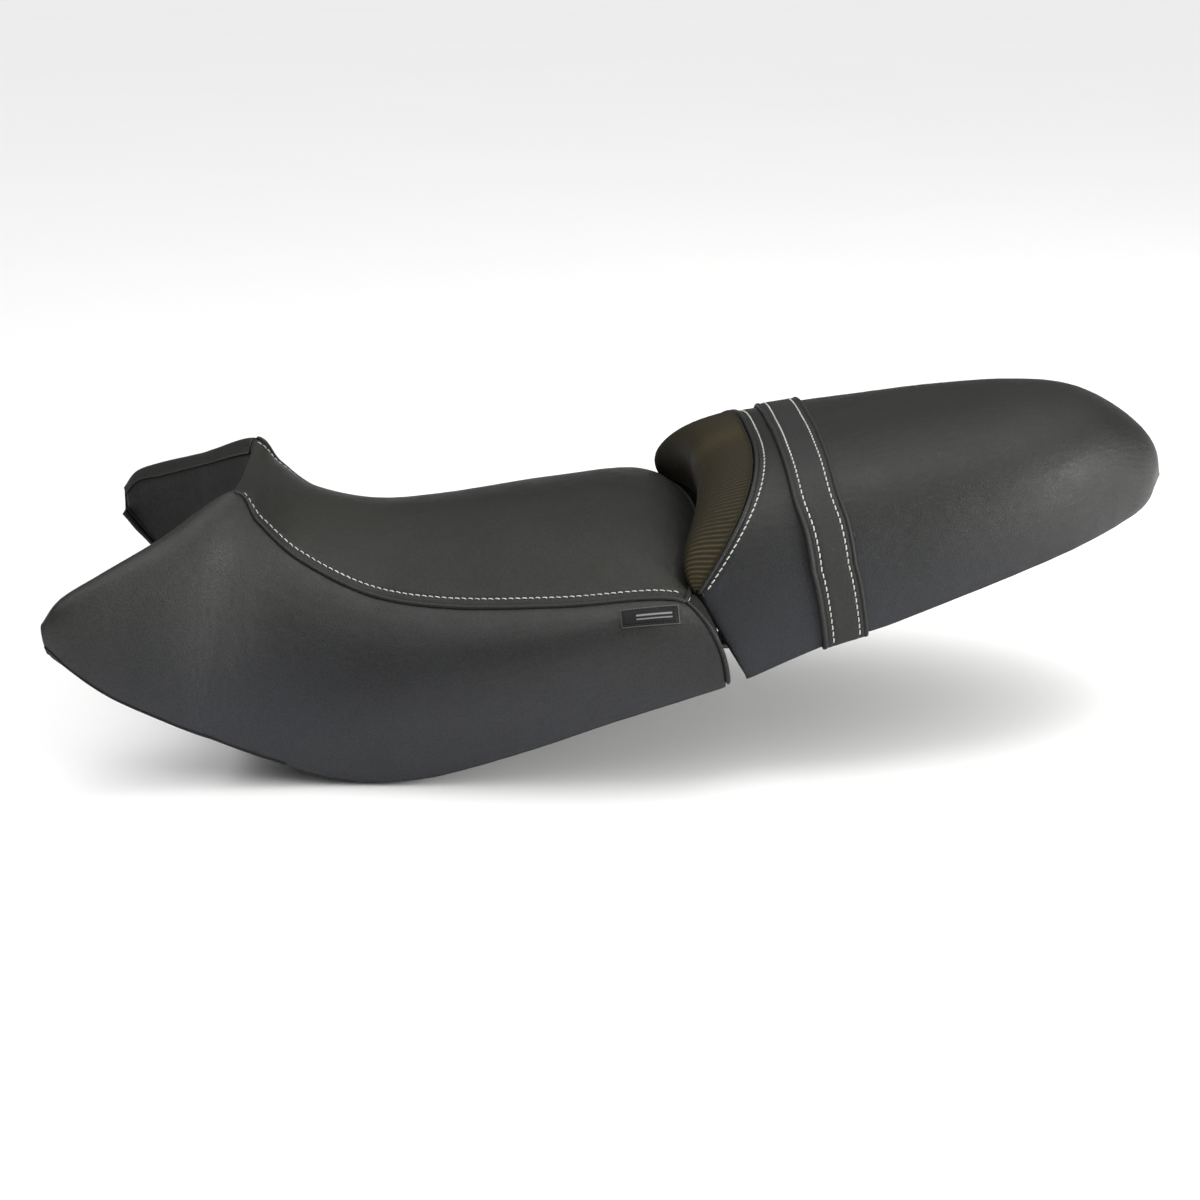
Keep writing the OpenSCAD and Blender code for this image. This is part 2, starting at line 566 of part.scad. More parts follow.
module insert_stitching() {
  f = function(s, v) shell(s, v);
  P = [for (v = steps(-tip_v, tip_v, 56))
    let(g = norm(shell(0.02, v) - shell(0, v)) / 0.02, s = stitch_inset * 0.75 / g)
    shell(s, v) + 1 * normal(f, s, v, [0, 0.98, -1, 1])];
  color([0.9, 0.9, 0.88]) cord(P, 0.5, 4);
}

strap_cut = 0.7;
function strap_rows(v0, v1, n, d) =
  let(f = function(v, w) band(v, w), W = steps(-strap_w / 2, strap_w / 2, 5))
  lay(f, steps(v0, v1, n), W, -d, [-1, 1, -60, 60]);
module strap_end() {
  skin(strap_rows(strap_cut + 0.006, 1, 6, strap_gap),
       strap_rows(strap_cut + 0.006, 1, 6, strap_gap + strap_t));
  // Tail of the strap turned in under the edge
  e = [for (w = steps(-strap_w / 2, strap_w / 2, 5)) band(1, w) + [0, strap_gap, 0]];
  difference() {
    skin([for (p = e) [p + [0, strap_t, -0.3], p + [0, -46, -0.3]]],
         [for (p = e) [p + [0, strap_t, -0.3 - strap_t], p + [0, -46, -0.3 - strap_t]]]);
    anchor_frame(1) translate([0, 0, -9]) cylinder(h = 14, r = 2.9, $fn = 24);
  }
}
// Place of the screw that holds one strap tail, sloped like the edge of the pan
module anchor_frame(k) {
  translate([63, k * 106, 27.5]) rotate([0, -16, 0]) children();
}
module strap_anchor_plates() {
  color([0.55, 0.56, 0.58]) for (k = [-1, 1]) anchor_frame(k) difference() {
    translate([-13, -8, -5]) cube([26, 16, 1.6]);
    translate([0, 0, -9]) cylinder(h = 6, r = 2.7, $fn = 24);
  }
}
module strap_anchor_screws() {
  color([0.7, 0.7, 0.72]) for (k = [-1, 1]) anchor_frame(k) {
    translate([0, 0, -5.2]) cylinder(h = 20, r = 2, $fn = 24);
    translate([0, 0, -7.5]) cylinder(h = 2.4, r = 4.6, $fn = 28);
  }
}
module passenger_rear_hooks() {
  color([0.5, 0.51, 0.53]) for (k = [-1, 1]) translate([axis_x, k * hook_spacing / 2, 0])
    difference() {
      union() {
        translate([-32, -12, 89]) cube([40, 24, 3]);
        translate([1, -9, axis_z + 7]) cube([7, 18, 90 - axis_z - 7]);
        translate([0, 9, axis_z]) rotate([90, 0, 0]) cylinder(h = 18, r = 10, $fn = 64);
      }
      translate([0, 15, axis_z]) rotate([90, 0, 0]) cylinder(h = 30, r = hook_r, $fn = 64);
      translate([0, 0, axis_z]) rotate([0, -12, 0]) translate([-20, -15, -7]) cube([18, 30, 9]);
      for (x = [-24, -8]) translate([x, 0, 86]) cylinder(h = 8, r = 2.9, $fn = 24);
    }
}
module passenger_hook_screws() {
  color([0.7, 0.7, 0.72]) for (k = [-1, 1]) for (x = [-24, -8])
    translate([axis_x + x, k * hook_spacing / 2, 0]) {
      translate([0, 0, 88.5]) cylinder(h = 12, r = 2, $fn = 24);
      translate([0, 0, 86]) cylinder(h = 2.7, r = 4.4, $fn = 28);
    }
}
module passenger_latch_pin() {
  color([0.75, 0.75, 0.77]) translate([45, 0, 0]) rotate_extrude($fn = 64)
    polygon([[0, 0], [2.5, 0], [pin_r, 4], [pin_r, 8], [3.4, 9], [3.4, 13], [pin_r, 14],
             [pin_r, 26], [9, 26], [9, 30.6], [4.9, 30.6], [4.9, 50], [0, 50]]);
}
module passenger_latch_plate() {
  color([0.55, 0.56, 0.58]) translate([45, 0, 31]) difference() {
    cylinder(h = 3, r = 21, $fn = 64);
    translate([0, 0, -1]) cylinder(h = 5, r = 5.3, $fn = 40);
    for (a = [60, 180, 300]) rotate([0, 0, a]) translate([15, 0, -1])
      cylinder(h = 5, r = 2.7, $fn = 24);
  }
}
module passenger_latch_screws() {
  color([0.7, 0.7, 0.72]) translate([45, 0, 0]) for (a = [60, 180, 300]) rotate([0, 0, a])
    translate([15, 0, 0]) {
      translate([0, 0, 30.5]) cylinder(h = 17, r = 2, $fn = 24);
      translate([0, 0, 28]) cylinder(h = 2.7, r = 3.8, $fn = 28);
    }
}
module passenger_bumpers() {
  color([0.05, 0.05, 0.05]) {
    for (y = [-80, 80]) translate([110, y, 56]) foot_pad(12);
    for (y = [-58, 58]) translate([205, y, 82]) foot_pad(12);
  }
}
module passenger_staples() {
  f = function(s) let(h = cr(skirt, s)) [h[0], -h[1], h[2]];
  color([0.75, 0.75, 0.78]) {
    staple_row(f, concat([0.05], steps(0.25, 0.8, 8)), 11);
    mirror([0, 1, 0]) staple_row(f, concat([0.05], steps(0.25, 0.8, 8)), 11);
  }
}
module strap_left_end() {
  color([0.08, 0.08, 0.08]) mirror([0, 1, 0]) strap_end();
}
module strap_right_end() {
  color([0.08, 0.08, 0.08]) strap_end();
}
module strap_grip() {
  color([0.08, 0.08, 0.08]) skin(strap_rows(-strap_cut, strap_cut, 40, strap_gap),
                                 strap_rows(-strap_cut, strap_cut, 40, strap_gap + strap_t));
}
module strap_grip_stitching() {
  f = function(v, w) band(v, w);
  color([0.9, 0.9, 0.88]) for (w = [-strap_w / 2 + 7, strap_w / 2 - 7])
    cord([for (v = steps(-strap_cut, strap_cut, 48))
      band(v, w) - (strap_gap + strap_t + 1) * normal(f, v, w, [-1, 1, -60, 60])], 0.5, 4);
}
rider_base_pan();
rider_foam();
rider_top_cover();
rider_left_side_cover();
rider_right_side_cover();
rider_front_cover();
rider_rear_cover();
rider_left_piping();
rider_right_piping();
rider_rear_piping();
rider_left_stitching();
rider_right_stitching();
label_tag();
rider_front_tongue();
rider_tongue_screws();
rider_rear_bracket();
rider_bracket_rivets();
rider_bumpers();
rider_staples();
passenger_base_pan();
passenger_foam();
passenger_main_cover();
passenger_insert();
passenger_front_cover();
insert_piping();
insert_stitching();
strap_left_end();
strap_right_end();
strap_anchor_plates();
strap_anchor_screws();
passenger_rear_hooks();
passenger_hook_screws();
passenger_latch_pin();
passenger_latch_plate();
passenger_latch_screws();
passenger_bumpers();
passenger_staples();
strap_grip();
strap_grip_stitching();
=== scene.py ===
import math

import bmesh
import bpy
import numpy as np
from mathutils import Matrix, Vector


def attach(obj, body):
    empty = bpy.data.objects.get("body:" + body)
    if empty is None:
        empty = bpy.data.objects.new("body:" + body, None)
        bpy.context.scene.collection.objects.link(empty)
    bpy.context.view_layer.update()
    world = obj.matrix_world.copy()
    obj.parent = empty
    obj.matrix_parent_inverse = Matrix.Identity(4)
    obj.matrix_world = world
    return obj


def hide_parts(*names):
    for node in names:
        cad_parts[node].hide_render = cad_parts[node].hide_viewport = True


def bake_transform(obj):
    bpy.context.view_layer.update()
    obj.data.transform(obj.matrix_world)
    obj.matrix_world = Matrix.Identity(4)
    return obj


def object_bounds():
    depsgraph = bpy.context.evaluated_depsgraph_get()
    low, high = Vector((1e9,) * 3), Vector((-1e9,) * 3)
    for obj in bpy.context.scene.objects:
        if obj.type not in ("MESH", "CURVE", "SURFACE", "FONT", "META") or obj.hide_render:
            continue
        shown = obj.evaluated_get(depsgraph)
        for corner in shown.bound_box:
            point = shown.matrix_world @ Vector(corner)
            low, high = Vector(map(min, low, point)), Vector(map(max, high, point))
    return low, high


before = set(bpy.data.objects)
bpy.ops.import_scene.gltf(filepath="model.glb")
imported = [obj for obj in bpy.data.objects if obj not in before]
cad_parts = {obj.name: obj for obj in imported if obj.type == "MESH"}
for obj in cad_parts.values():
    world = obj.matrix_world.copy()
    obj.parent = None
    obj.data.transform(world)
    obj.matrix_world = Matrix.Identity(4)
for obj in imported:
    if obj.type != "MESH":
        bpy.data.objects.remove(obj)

MM = 0.001
CAD_BOX = [list(v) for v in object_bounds()]
SCENE = bpy.context.scene
SCENE.view_settings.view_transform = "Standard"


# -------------------- camera, floor and light
def aimed(name, data, place, target):
    """A camera or a lamp at place, turned towards target."""
    obj = bpy.data.objects.new(name, data)
    obj.location = place
    way = Vector(target) - Vector(place)
    obj.rotation_euler = way.to_track_quat("-Z", "Y").to_euler()
    SCENE.collection.objects.link(obj)
    return obj


def look_from(place, target, lens):
    cam = bpy.data.cameras.new("camera")
    cam.lens = lens
    cam.sensor_width = 36
    cam.clip_end = 100
    SCENE.camera = aimed("camera", cam, place, target)


def soft_light(name, place, target, size, power, colour):
    lamp = bpy.data.lights.new(name, "AREA")
    lamp.shape = "RECTANGLE"
    lamp.size, lamp.size_y = size
    lamp.energy = power
    lamp.color = colour
    aimed(name, lamp, place, target)


def set_stops(ramp, stops):
    while len(ramp.elements) < len(stops):
        ramp.elements.new(0.5)
    for e, (at, colour) in zip(ramp.elements, stops):
        e.position = at
        e.color = (*colour, 1)


def studio_sky():
    world = bpy.data.worlds.new("studio")
    SCENE.world = world
    world.use_nodes = True
    nodes, links = world.node_tree.nodes, world.node_tree.links
    nodes.clear()
    out = nodes.new("ShaderNodeOutputWorld")
    back = nodes.new("ShaderNodeBackground")
    where = nodes.new("ShaderNodeTexCoord")
    split = nodes.new("ShaderNodeSeparateXYZ")
    ramp = nodes.new("ShaderNodeValToRGB")
    ramp.color_ramp.interpolation = "EASE"
    greys = ((0.0, 0.05), (0.42, 0.07), (0.76, 0.7), (1.0, 1.6))
    set_stops(ramp.color_ramp, [(at, (grey,) * 3) for at, grey in greys])
    back.inputs["Strength"].default_value = 1.5
    links.new(where.outputs["Generated"], split.inputs[0])
    links.new(split.outputs["Z"], ramp.inputs[0])
    links.new(ramp.outputs[0], back.inputs["Color"])
    # the far distance is seen as a plain pale wall
    seen = nodes.new("ShaderNodeBackground")
    seen.inputs["Color"].default_value = (0.86, 0.86, 0.86, 1)
    ray = nodes.new("ShaderNodeLightPath")
    pick = nodes.new("ShaderNodeMixShader")
    links.new(ray.outputs["Is Camera Ray"], pick.inputs[0])
    links.new(back.outputs[0], pick.inputs[1])
    links.new(seen.outputs[0], pick.inputs[2])
    links.new(pick.outputs[0], out.inputs["Surface"])


# -------------------- node materials
class Mat:
    """A material built node by node. Values are set on sockets and nodes are linked by name."""

    def __init__(self, name):
        self.mat = bpy.data.materials.new(name)
        self.mat.use_nodes = True
        self.tree = self.mat.node_tree
        self.tree.nodes.clear()
        self.out = self.tree.nodes.new("ShaderNodeOutputMaterial")
        self.bsdf = self.tree.nodes.new("ShaderNodeBsdfPrincipled")
        self.tree.links.new(self.bsdf.outputs[0], self.out.inputs[0])
        self.at = self.node("TexCoord").outputs["Object"]

    def node(self, kind, *links, **values):
        n = self.tree.nodes.new("ShaderNode" + kind)
        for k, v in values.items():
            if hasattr(n, k):
                setattr(n, k, v)
            else:
                n.inputs[k.replace("_", " ")].default_value = v
        for to, source in links:
            self.tree.links.new(source, n.inputs[to])
        return n

    def set(self, **values):
        for k, v in values.items():
            self.bsdf.inputs[k.replace("_", " ")].default_value = v
        return self

    def noise(self, scale, detail=3.0, rough=0.5, at=None):
        n = self.node("TexNoise", ("Vector", at or self.at), Scale=scale, Detail=detail, Roughness=rough)
        return n.outputs["Fac"]

    def spread(self, source, a0, a1, b0, b1):
        n = self.node("MapRange", ("Value", source))
        for k, v in zip(("From Min", "From Max", "To Min", "To Max"), (a0, a1, b0, b1)):
            n.inputs[k].default_value = v
        return n.outputs[0]

    def math(self, op, a, b):
        n = self.node("Math", operation=op)
        for i, x in enumerate((a, b)):
            if isinstance(x, (int, float)):
                n.inputs[i].default_value = x
            else:
                self.tree.links.new(x, n.inputs[i])
        return n.outputs[0]

    def ramp(self, source, *stops):
        n = self.node("ValToRGB", (0, source))
        set_stops(n.color_ramp, stops)
        return n.outputs[0]

    def blend(self, fac, a, b, kind="MIX"):
        n = self.node("Mix", data_type="RGBA", blend_type=kind)
        for i, x in ((0, fac), (6, a), (7, b)):
            if isinstance(x, (int, float)):
                n.inputs[i].default_value = x
            elif isinstance(x, tuple):
                n.inputs[i].default_value = (*x, 1)
            else:
                self.tree.links.new(x, n.inputs[i])
        return n.outputs[2]

    def bump(self, height, depth, strength=1.0):
        n = self.node("Bump", ("Height", height))
        n.inputs["Strength"].default_value = strength
        n.inputs["Distance"].default_value = depth
        self.tree.links.new(n.outputs[0], self.bsdf.inputs["Normal"])

    def to(self, socket, source):
        self.tree.links.new(source, self.bsdf.inputs[socket])


def grain(m, size):
    """Pebbled leather grain about size metres across, with finer pores, from 0 to 1."""
    bent = m.node("VectorMath", (0, m.at), operation="ADD")
    shift = m.node("TexNoise", ("Vector", m.at), Scale=0.35 / size, Detail=2.0)
    scaled = m.node("VectorMath", (0, shift.outputs["Color"]), operation="SCALE")
    scaled.inputs["Scale"].default_value = size * 1.2
    m.tree.links.new(scaled.outputs[0], bent.inputs[1])
    cells = m.node("TexVoronoi", ("Vector", bent.outputs[0]), feature="DISTANCE_TO_EDGE", Scale=1 / size)
    pebble = m.spread(cells.outputs["Distance"], 0.0, 0.18, 0.0, 1.0)
    pores = m.noise(3.2 / size, 2.0, 0.6)
    return m.math("ADD", m.math("MULTIPLY", pebble, 0.7), m.math("MULTIPLY", pores, 0.3))


def vinyl(name, dark, light, painted_cool_light=None, rough=0.41, size=0.0011, low=-0.02, high=0.06, spec=0.32, dust=0.18):
    m = Mat(name)
    cloud = m.noise(9.0, 4.0, 0.55)
    colour = m.ramp(cloud, (0.34, dark), (0.68, light))
    # painted light: the lower part of the panel is blended towards a paler bluish tone that stands in for
    # light from the floor and fill below
    if painted_cool_light:
        z = m.node("SeparateXYZ", (0, m.at)).outputs["Z"]
        fade = m.math("ADD", m.spread(z, low, high, 1.0, 0.0), m.spread(cloud, 0.3, 0.7, -0.18, 0.18))
        fade.node.use_clamp = True
        colour = m.blend(fade, colour, painted_cool_light)
    g = grain(m, size)
    speck = m.noise(620.0, 3.0, 0.7)
    colour = m.blend(m.spread(speck, 0.35, 0.75, 0.0, dust), colour, (0.07, 0.069, 0.064))
    colour = m.blend(m.spread(g, 0.1, 0.7, 0.45, 0.0), colour, (0.004, 0.004, 0.004))
    # painted shade: the seam attribute darkens the vinyl beside seams, along stitch grooves and on hems
    # folded under the pan
    seam = m.node("Attribute", attribute_name="seam").outputs["Fac"]
    colour = m.blend(m.math("MULTIPLY", seam, 0.4), colour, (0.007, 0.007, 0.007))
    m.to("Base Color", colour)
    worn = m.math("ADD", m.spread(m.noise(38.0, 5.0, 0.6), 0.3, 0.7, rough - 0.05, rough + 0.07),
                  m.spread(g, 0.1, 0.8, 0.08, 0.0))
    m.to("Roughness", worn)
    m.set(Specular_IOR_Level=spec, Sheen_Weight=0.01, Sheen_Roughness=0.5)
    creases = m.noise(70.0, 3.0, 0.45)
    m.bump(m.math("ADD", g, m.math("MULTIPLY", creases, 1.6)), 0.00022, 0.55)
    return m.mat


def ribbed():
    m = Mat("ribbed_grip")
    rib = m.node("Attribute", attribute_name="rib").outputs["Fac"]
    cloud = m.noise(22.0, 4.0, 0.6)
    colour = m.ramp(cloud, (0.3, (0.029, 0.022, 0.008)), (0.7, (0.048, 0.038, 0.016)))
    weave = m.noise(1500.0, 3.0, 0.7)
    colour = m.blend(m.spread(weave, 0.3, 0.75, 0.0, 0.5), colour, (0.085, 0.07, 0.035))
    # painted shade in the valleys between the ribs
    colour = m.blend(m.spread(rib, 0.0, 0.75, 0.88, 0.0), colour, (0.006, 0.005, 0.003))
    m.to("Base Color", colour)
    m.to("Roughness", m.spread(cloud, 0.3, 0.7, 0.56, 0.7))
    m.set(Specular_IOR_Level=0.14, Sheen_Weight=0.02, Sheen_Roughness=0.45)
    m.bump(weave, 0.0002, 0.6)
    return m.mat


def thread():
    m = Mat("white_thread")
    wave = m.node("TexWave", ("Vector", m.at), Scale=900.0, Distortion=1.5, Detail=1.0)
    wave.bands_direction = "DIAGONAL"
    twist = wave.outputs["Fac"]
    cloud = m.noise(60.0, 3.0)
    colour = m.ramp(cloud, (0.3, (0.46, 0.46, 0.43)), (0.7, (0.66, 0.66, 0.63)))
    m.to("Base Color", m.blend(m.spread(twist, 0.0, 0.6, 0.4, 0.0), colour, (0.2, 0.2, 0.19)))
    m.to("Roughness", m.spread(twist, 0.0, 1.0, 0.75, 0.55))
    m.set(Sheen_Weight=0.15, Specular_IOR_Level=0.35)
    m.bump(twist, 0.0002, 0.7)
    return m.mat


def woven():
    m = Mat("tag_fabric")
    wave = m.node("TexWave", ("Vector", m.at), Scale=620.0, Distortion=0.3)
    across = m.node("TexWave", ("Vector", m.at), Scale=620.0, Distortion=0.3, bands_direction="Z")
    weave = m.math("MULTIPLY", wave.outputs["Fac"], across.outputs["Fac"])
    colour = m.ramp(weave, (0.1, (0.003, 0.003, 0.003)), (0.8, (0.018, 0.018, 0.019)))
    stripe = m.node("Attribute", attribute_name="stripe").outputs["Fac"]
    m.to("Base Color", m.blend(m.math("MULTIPLY", stripe, m.spread(weave, 0.1, 0.8, 0.5, 1.0)), colour,
                              (0.42, 0.42, 0.43)))
    m.to("Roughness", m.spread(m.noise(90.0), 0.3, 0.7, 0.34, 0.5))
    m.set(Specular_IOR_Level=0.15)
    m.bump(weave, 0.00015, 0.6)
    return m.mat


def plastic():
    m = Mat("pan_plastic")
    cloud = m.noise(14.0, 5.0, 0.6)
    spark = m.noise(950.0, 4.0, 0.7)
    colour = m.ramp(cloud, (0.3, (0.011, 0.011, 0.012)), (0.7, (0.02, 0.02, 0.021)))
    m.to("Base Color", m.blend(m.spread(m.noise(5.0, 6.0, 0.7), 0.55, 0.75, 0.0, 0.4), colour,
                              (0.05, 0.049, 0.046)))
    m.to("Roughness", m.spread(spark, 0.3, 0.7, 0.5, 0.68))
    m.bump(spark, 0.00025, 0.5)
    return m.mat


def foam():
    m = Mat("seat_foam")
    cells = m.node("TexVoronoi", ("Vector", m.at), Scale=480.0).outputs["Distance"]
    big = m.noise(120.0, 4.0, 0.6)
    colour = m.ramp(big, (0.3, (0.5, 0.42, 0.2)), (0.7, (0.68, 0.6, 0.34)))
    m.to("Base Color", m.blend(m.spread(cells, 0.0, 0.4, 0.55, 0.0), colour, (0.24, 0.18, 0.07)))
    m.to("Roughness", m.spread(big, 0.3, 0.7, 0.85, 0.97))
    m.bump(m.math("ADD", cells, big), 0.0006, 0.8)
    return m.mat


def steel(name, dark, light, metal, rough, spot, scale=30.0):
    """Painted, plated or bare steel: clouded tone, fine brushing and small marks."""
    m = Mat(name)
    cloud = m.noise(scale, 5.0, 0.6)
    colour = m.ramp(cloud, (0.32, dark), (0.68, light))
    brush = m.node("Mapping", ("Vector", m.at))
    brush.inputs["Scale"].default_value = (60.0, 1800.0, 1800.0)
    lines = m.noise(1.0, 3.0, 0.6, brush.outputs[0])
    marks = m.noise(160.0, 6.0, 0.75)
    m.to("Base Color", m.blend(m.spread(marks, 0.58, 0.72, 0.0, 0.6), colour, spot))
    m.to("Roughness", m.math("ADD", m.spread(lines, 0.3, 0.7, rough - 0.06, rough + 0.08),
                             m.spread(marks, 0.55, 0.75, 0.0, 0.15)))
    m.set(Metallic=metal)
    m.bump(m.math("ADD", lines, m.math("MULTIPLY", marks, 0.6)), 0.00008, 0.5)
    return m.mat


def rubber():
    m = Mat("rubber")
    cloud = m.noise(70.0, 4.0, 0.6)
    dust = m.noise(25.0, 6.0, 0.7)
    colour = m.ramp(cloud, (0.3, (0.008, 0.008, 0.008)), (0.7, (0.017, 0.017, 0.016)))
    m.to("Base Color", m.blend(m.spread(dust, 0.52, 0.8, 0.0, 0.45), colour, (0.075, 0.07, 0.062)))
    m.to("Roughness", m.spread(cloud, 0.3, 0.7, 0.62, 0.82))
    m.bump(m.noise(700.0, 3.0, 0.6), 0.0002, 0.5)
    return m.mat


# the third tone is painted light: a paler bluish colour for the lower sides of vinyl_side and vinyl_rear, in
# place of light from below
WARM, WARM2, PAINTED_COOL_LIGHT = (0.008, 0.008, 0.0062), (0.0135, 0.0134, 0.0105), (0.02, 0.021, 0.0275)
MATS = {
    "vinyl_top": vinyl("vinyl_top", WARM, WARM2, spec=0.22),
    "vinyl_side": vinyl("vinyl_side", WARM, WARM2, PAINTED_COOL_LIGHT, low=-0.03, high=0.07),
    "vinyl_rear": vinyl("vinyl_rear", WARM, (0.0115, 0.0114, 0.009), PAINTED_COOL_LIGHT, low=0.02, high=0.13, spec=0.29,
                        dust=0.06),
    "vinyl_dark": vinyl("vinyl_dark", (0.006, 0.006, 0.006), (0.01, 0.01, 0.0098), rough=0.5, spec=0.2),
    "ribbed_grip": ribbed(),
    "piping_vinyl": vinyl("piping_vinyl", (0.005, 0.005, 0.0055), (0.01, 0.01, 0.011), rough=0.34,
                          size=0.0007),
    "white_thread": thread(),
    "strap_vinyl": vinyl("strap_vinyl", (0.008, 0.008, 0.008), (0.014, 0.014, 0.0135), rough=0.5,
                         size=0.0008),
    "tag_fabric": woven(),
    "seat_foam": foam(),
    "pan_plastic": plastic(),
    "black_plate": steel("black_plate", (0.012, 0.012, 0.013), (0.022, 0.022, 0.024), 0.0, 0.42,
                         (0.05, 0.045, 0.04)),
    "plated_plate": steel("plated_plate", (0.42, 0.42, 0.4), (0.58, 0.57, 0.52), 1.0, 0.34, (0.3, 0.27, 0.2)),
    "pin_steel": steel("pin_steel", (0.5, 0.5, 0.5), (0.66, 0.66, 0.67), 1.0, 0.24, (0.34, 0.33, 0.31)),
    "screw_zinc": steel("screw_zinc", (0.5, 0.51, 0.52), (0.68, 0.68, 0.7), 1.0, 0.3, (0.35, 0.33, 0.3)),
    "rubber": rubber(),
    "staple_wire": steel("staple_wire", (0.5, 0.5, 0.5), (0.7, 0.7, 0.72), 1.0, 0.28, (0.3, 0.26, 0.2),
                         200.0),
}

# -------------------- the seat's surfaces, in millimetres
RIM = [
    [-508, 157, 60], [-495, 153, 76], [-470, 138, 88], [-431, 110, 104],
    [-382, 72, 127], [-364, 75, 105], [-335, 84, 79], [-283, 104, 58],
    [-225, 122, 54], [-146, 140, 60], [-89, 148, 67], [-66, 151, 68], [-56, 150, 65],
]
HEM = [
    [-508, 157, 43], [-492, 155, 23], [-466, 150, -1], [-422, 143, -28],
    [-398, 138, -41], [-366, 136, -56], [-309, 135, -76], [-250, 138, -76],
    [-176, 146, -53], [-111, 154, -27], [-24, 158, 3],
]
TURN = [8, 8, 8, 10, 18, 30, 36, 36, 32, 30, 30, 30, 28]
CROWN = [
    [-380, 122], [-358, 112], [-330, 98], [-283, 89], [-225, 91],
    [-146, 101], [-89, 105], [-58, 98], [-34, 81],
]
LIP = [
    [-506, 151, 56], [-493, 145, 70], [-468, 128, 80], [-430, 99, 97],
    [-387, 61, 117], [-384, 30, 114], [-384, 0, 113],
]
FOOT = [
    [-506, 151, 44], [-486, 141, 23], [-460, 133, -3], [-421, 120, -30],
    [-390, 95, -32], [-382, 50, -20], [-380, 0, -16],
]
BACK = [
    [4, 149], [58, 158], [114, 166], [170, 173], [220, 178], [262, 175],
    [296, 159], [319, 137], [331, 107],
]
SKIRT = [
    [-10, 142, 1], [45, 140, 25], [92, 135, 38], [140, 128, 54], [190, 116, 69],
    [238, 98, 82], [279, 71, 91], [309, 42, 98], [331, 0, 107],
]
SQUARE = [3.1, 3, 2.9, 2.8, 2.7, 2.6, 2.5, 2.4, 2.3]
STRAP_LINE = [0.074, 0.077, 0.088, 0.105, 0.132, 0.154, 0.168]
CORNER, TIP_V, TIP_X = 1 / 3, 0.82, 38.5
COVER_T, INSERT_T, LINING_T, TAG_T = 1.6, 1.4, 1.0, 1.1
CORD_R, THIN_CORD_R = 1.9, 1.8
TOPSTITCH, INSERT_STITCH, STITCH_PITCH = 7.5, 6.0, 5.0
RIB_PITCH, RIB_HIGH = 3.0, 0.5
STRAP_GAP, STRAP_T, STRAP_SEAM = 0.8, 2.2, 7.0
TAG_HALF = (21, 7)
# each fold is a list of steps: how far in from the edge, how far up
SIDE_FOLD = [(0.2, -0.9), (1.4, -1.6), (3.2, -1.75), (6, -1.7), (9.5, -1.72), (14.5, -1.6)]
SHELL_FOLD = [(0.2, -0.9), (1.4, -1.6), (3.2, -1.75), (6, -1.7), (10, -1.7), (14, -1.6)]
TAIL_FOLD = [(0.2, -0.35), (0.9, -0.75), (2.2, -1.0), (6, -1.05), (16, -1.05), (30, -1.05), (44, -1.05)]
FLOOR_HALF, EDGE_BEVEL = 14, 0.0003
RIDER, PASSENGER, STRAP = "rider_seat", "passenger_seat", "strap"
BLACK = "piping_vinyl"
PIPED, PLAIN = ("piped", 1), ("plain", 1)


def cr(points, t):
    """Smooth curve through a list of points, at every t."""
    p = np.asarray(points, float)
    if p.ndim == 1:
        p = p[:, None]
    n = len(p) - 1
    t = np.clip(np.asarray(t, float), 0, 1) * n
    i = np.minimum(t.astype(int), n - 1)
    f = (t - i)[..., None]
    b, c = p[i], p[i + 1]
    a = np.where((i > 0)[..., None], p[np.maximum(i - 1, 0)], 2 * b - c)
    d = np.where((i < n - 1)[..., None], p[np.minimum(i + 2, n)], 2 * c - b)
    return 0.5 * (2 * b + (c - a) * f + (2 * a - 5 * b + 4 * c - d) * f**2 + (3 * b - a - 3 * c + d) * f**3)


def xyz(x, y, z):
    return np.stack(np.broadcast_arrays(x, y, z), -1)


def mix(a, b, t):
    return a + (b - a) * t


def both(a, b):
    a, b = np.broadcast_arrays(np.asarray(a, float), np.asarray(b, float))
    return a.copy(), b.copy()


def side(s, v):
    s, v = both(s, v)
    u, h, w = cr(RIM, s), cr(HEM, s), 1 - v
    al, be, drop = np.radians(cr(TURN, s)[..., 0]), math.radians(12), u[..., 2] - h[..., 2]
    k = (w**3, 3 * v * w * w, 3 * v * v * w, v**3)
    y = (u[..., 1], u[..., 1] + 0.36 * drop * np.cos(al), h[..., 1] + 0.3 * drop * math.sin(be), h[..., 1])
    z = (u[..., 2], u[..., 2] - 0.36 * drop * np.sin(al), h[..., 2] + 0.3 * drop * math.cos(be), h[..., 2])
    return xyz(mix(u[..., 0], h[..., 0], 1 - w * w), -sum(a * b for a, b in zip(k, y)),
               sum(a * b for a, b in zip(k, z)))


def roll(a, b, r):
    """Rounded turn from the crest a over to the edge b."""
    m = xyz(mix(a[..., 0], b[..., 0], 0.7), mix(a[..., 1], b[..., 1], 0.55), a[..., 2] + 2)
    r = r[..., None]
    return (1 - r) ** 2 * a + 2 * r * (1 - r) * m + r * r * b


def crest(s, r):
    s, r = both(s, r)
    return roll(cr(RIM, s), cr(LIP, 2 * s), r) * [1, -1, 1]


def deck(t, u):
    t, u = both(t, u)
    a, c = cr(RIM, CORNER + (1 - CORNER) * t), cr(CROWN, t)
    return xyz(mix(c[..., 0], a[..., 0], u * u), a[..., 1] * u,
               a[..., 2] + (c[..., 1] - a[..., 2]) * (1 - np.abs(u) ** 2.2))


def nose(u, r):
    u, r = both(u, r)
    b = cr(LIP, 1 - np.abs(u) / 3)
    b[..., 1] *= np.where(u < 0, -1, 1)
    return roll(deck(0 * u, u), b, r)


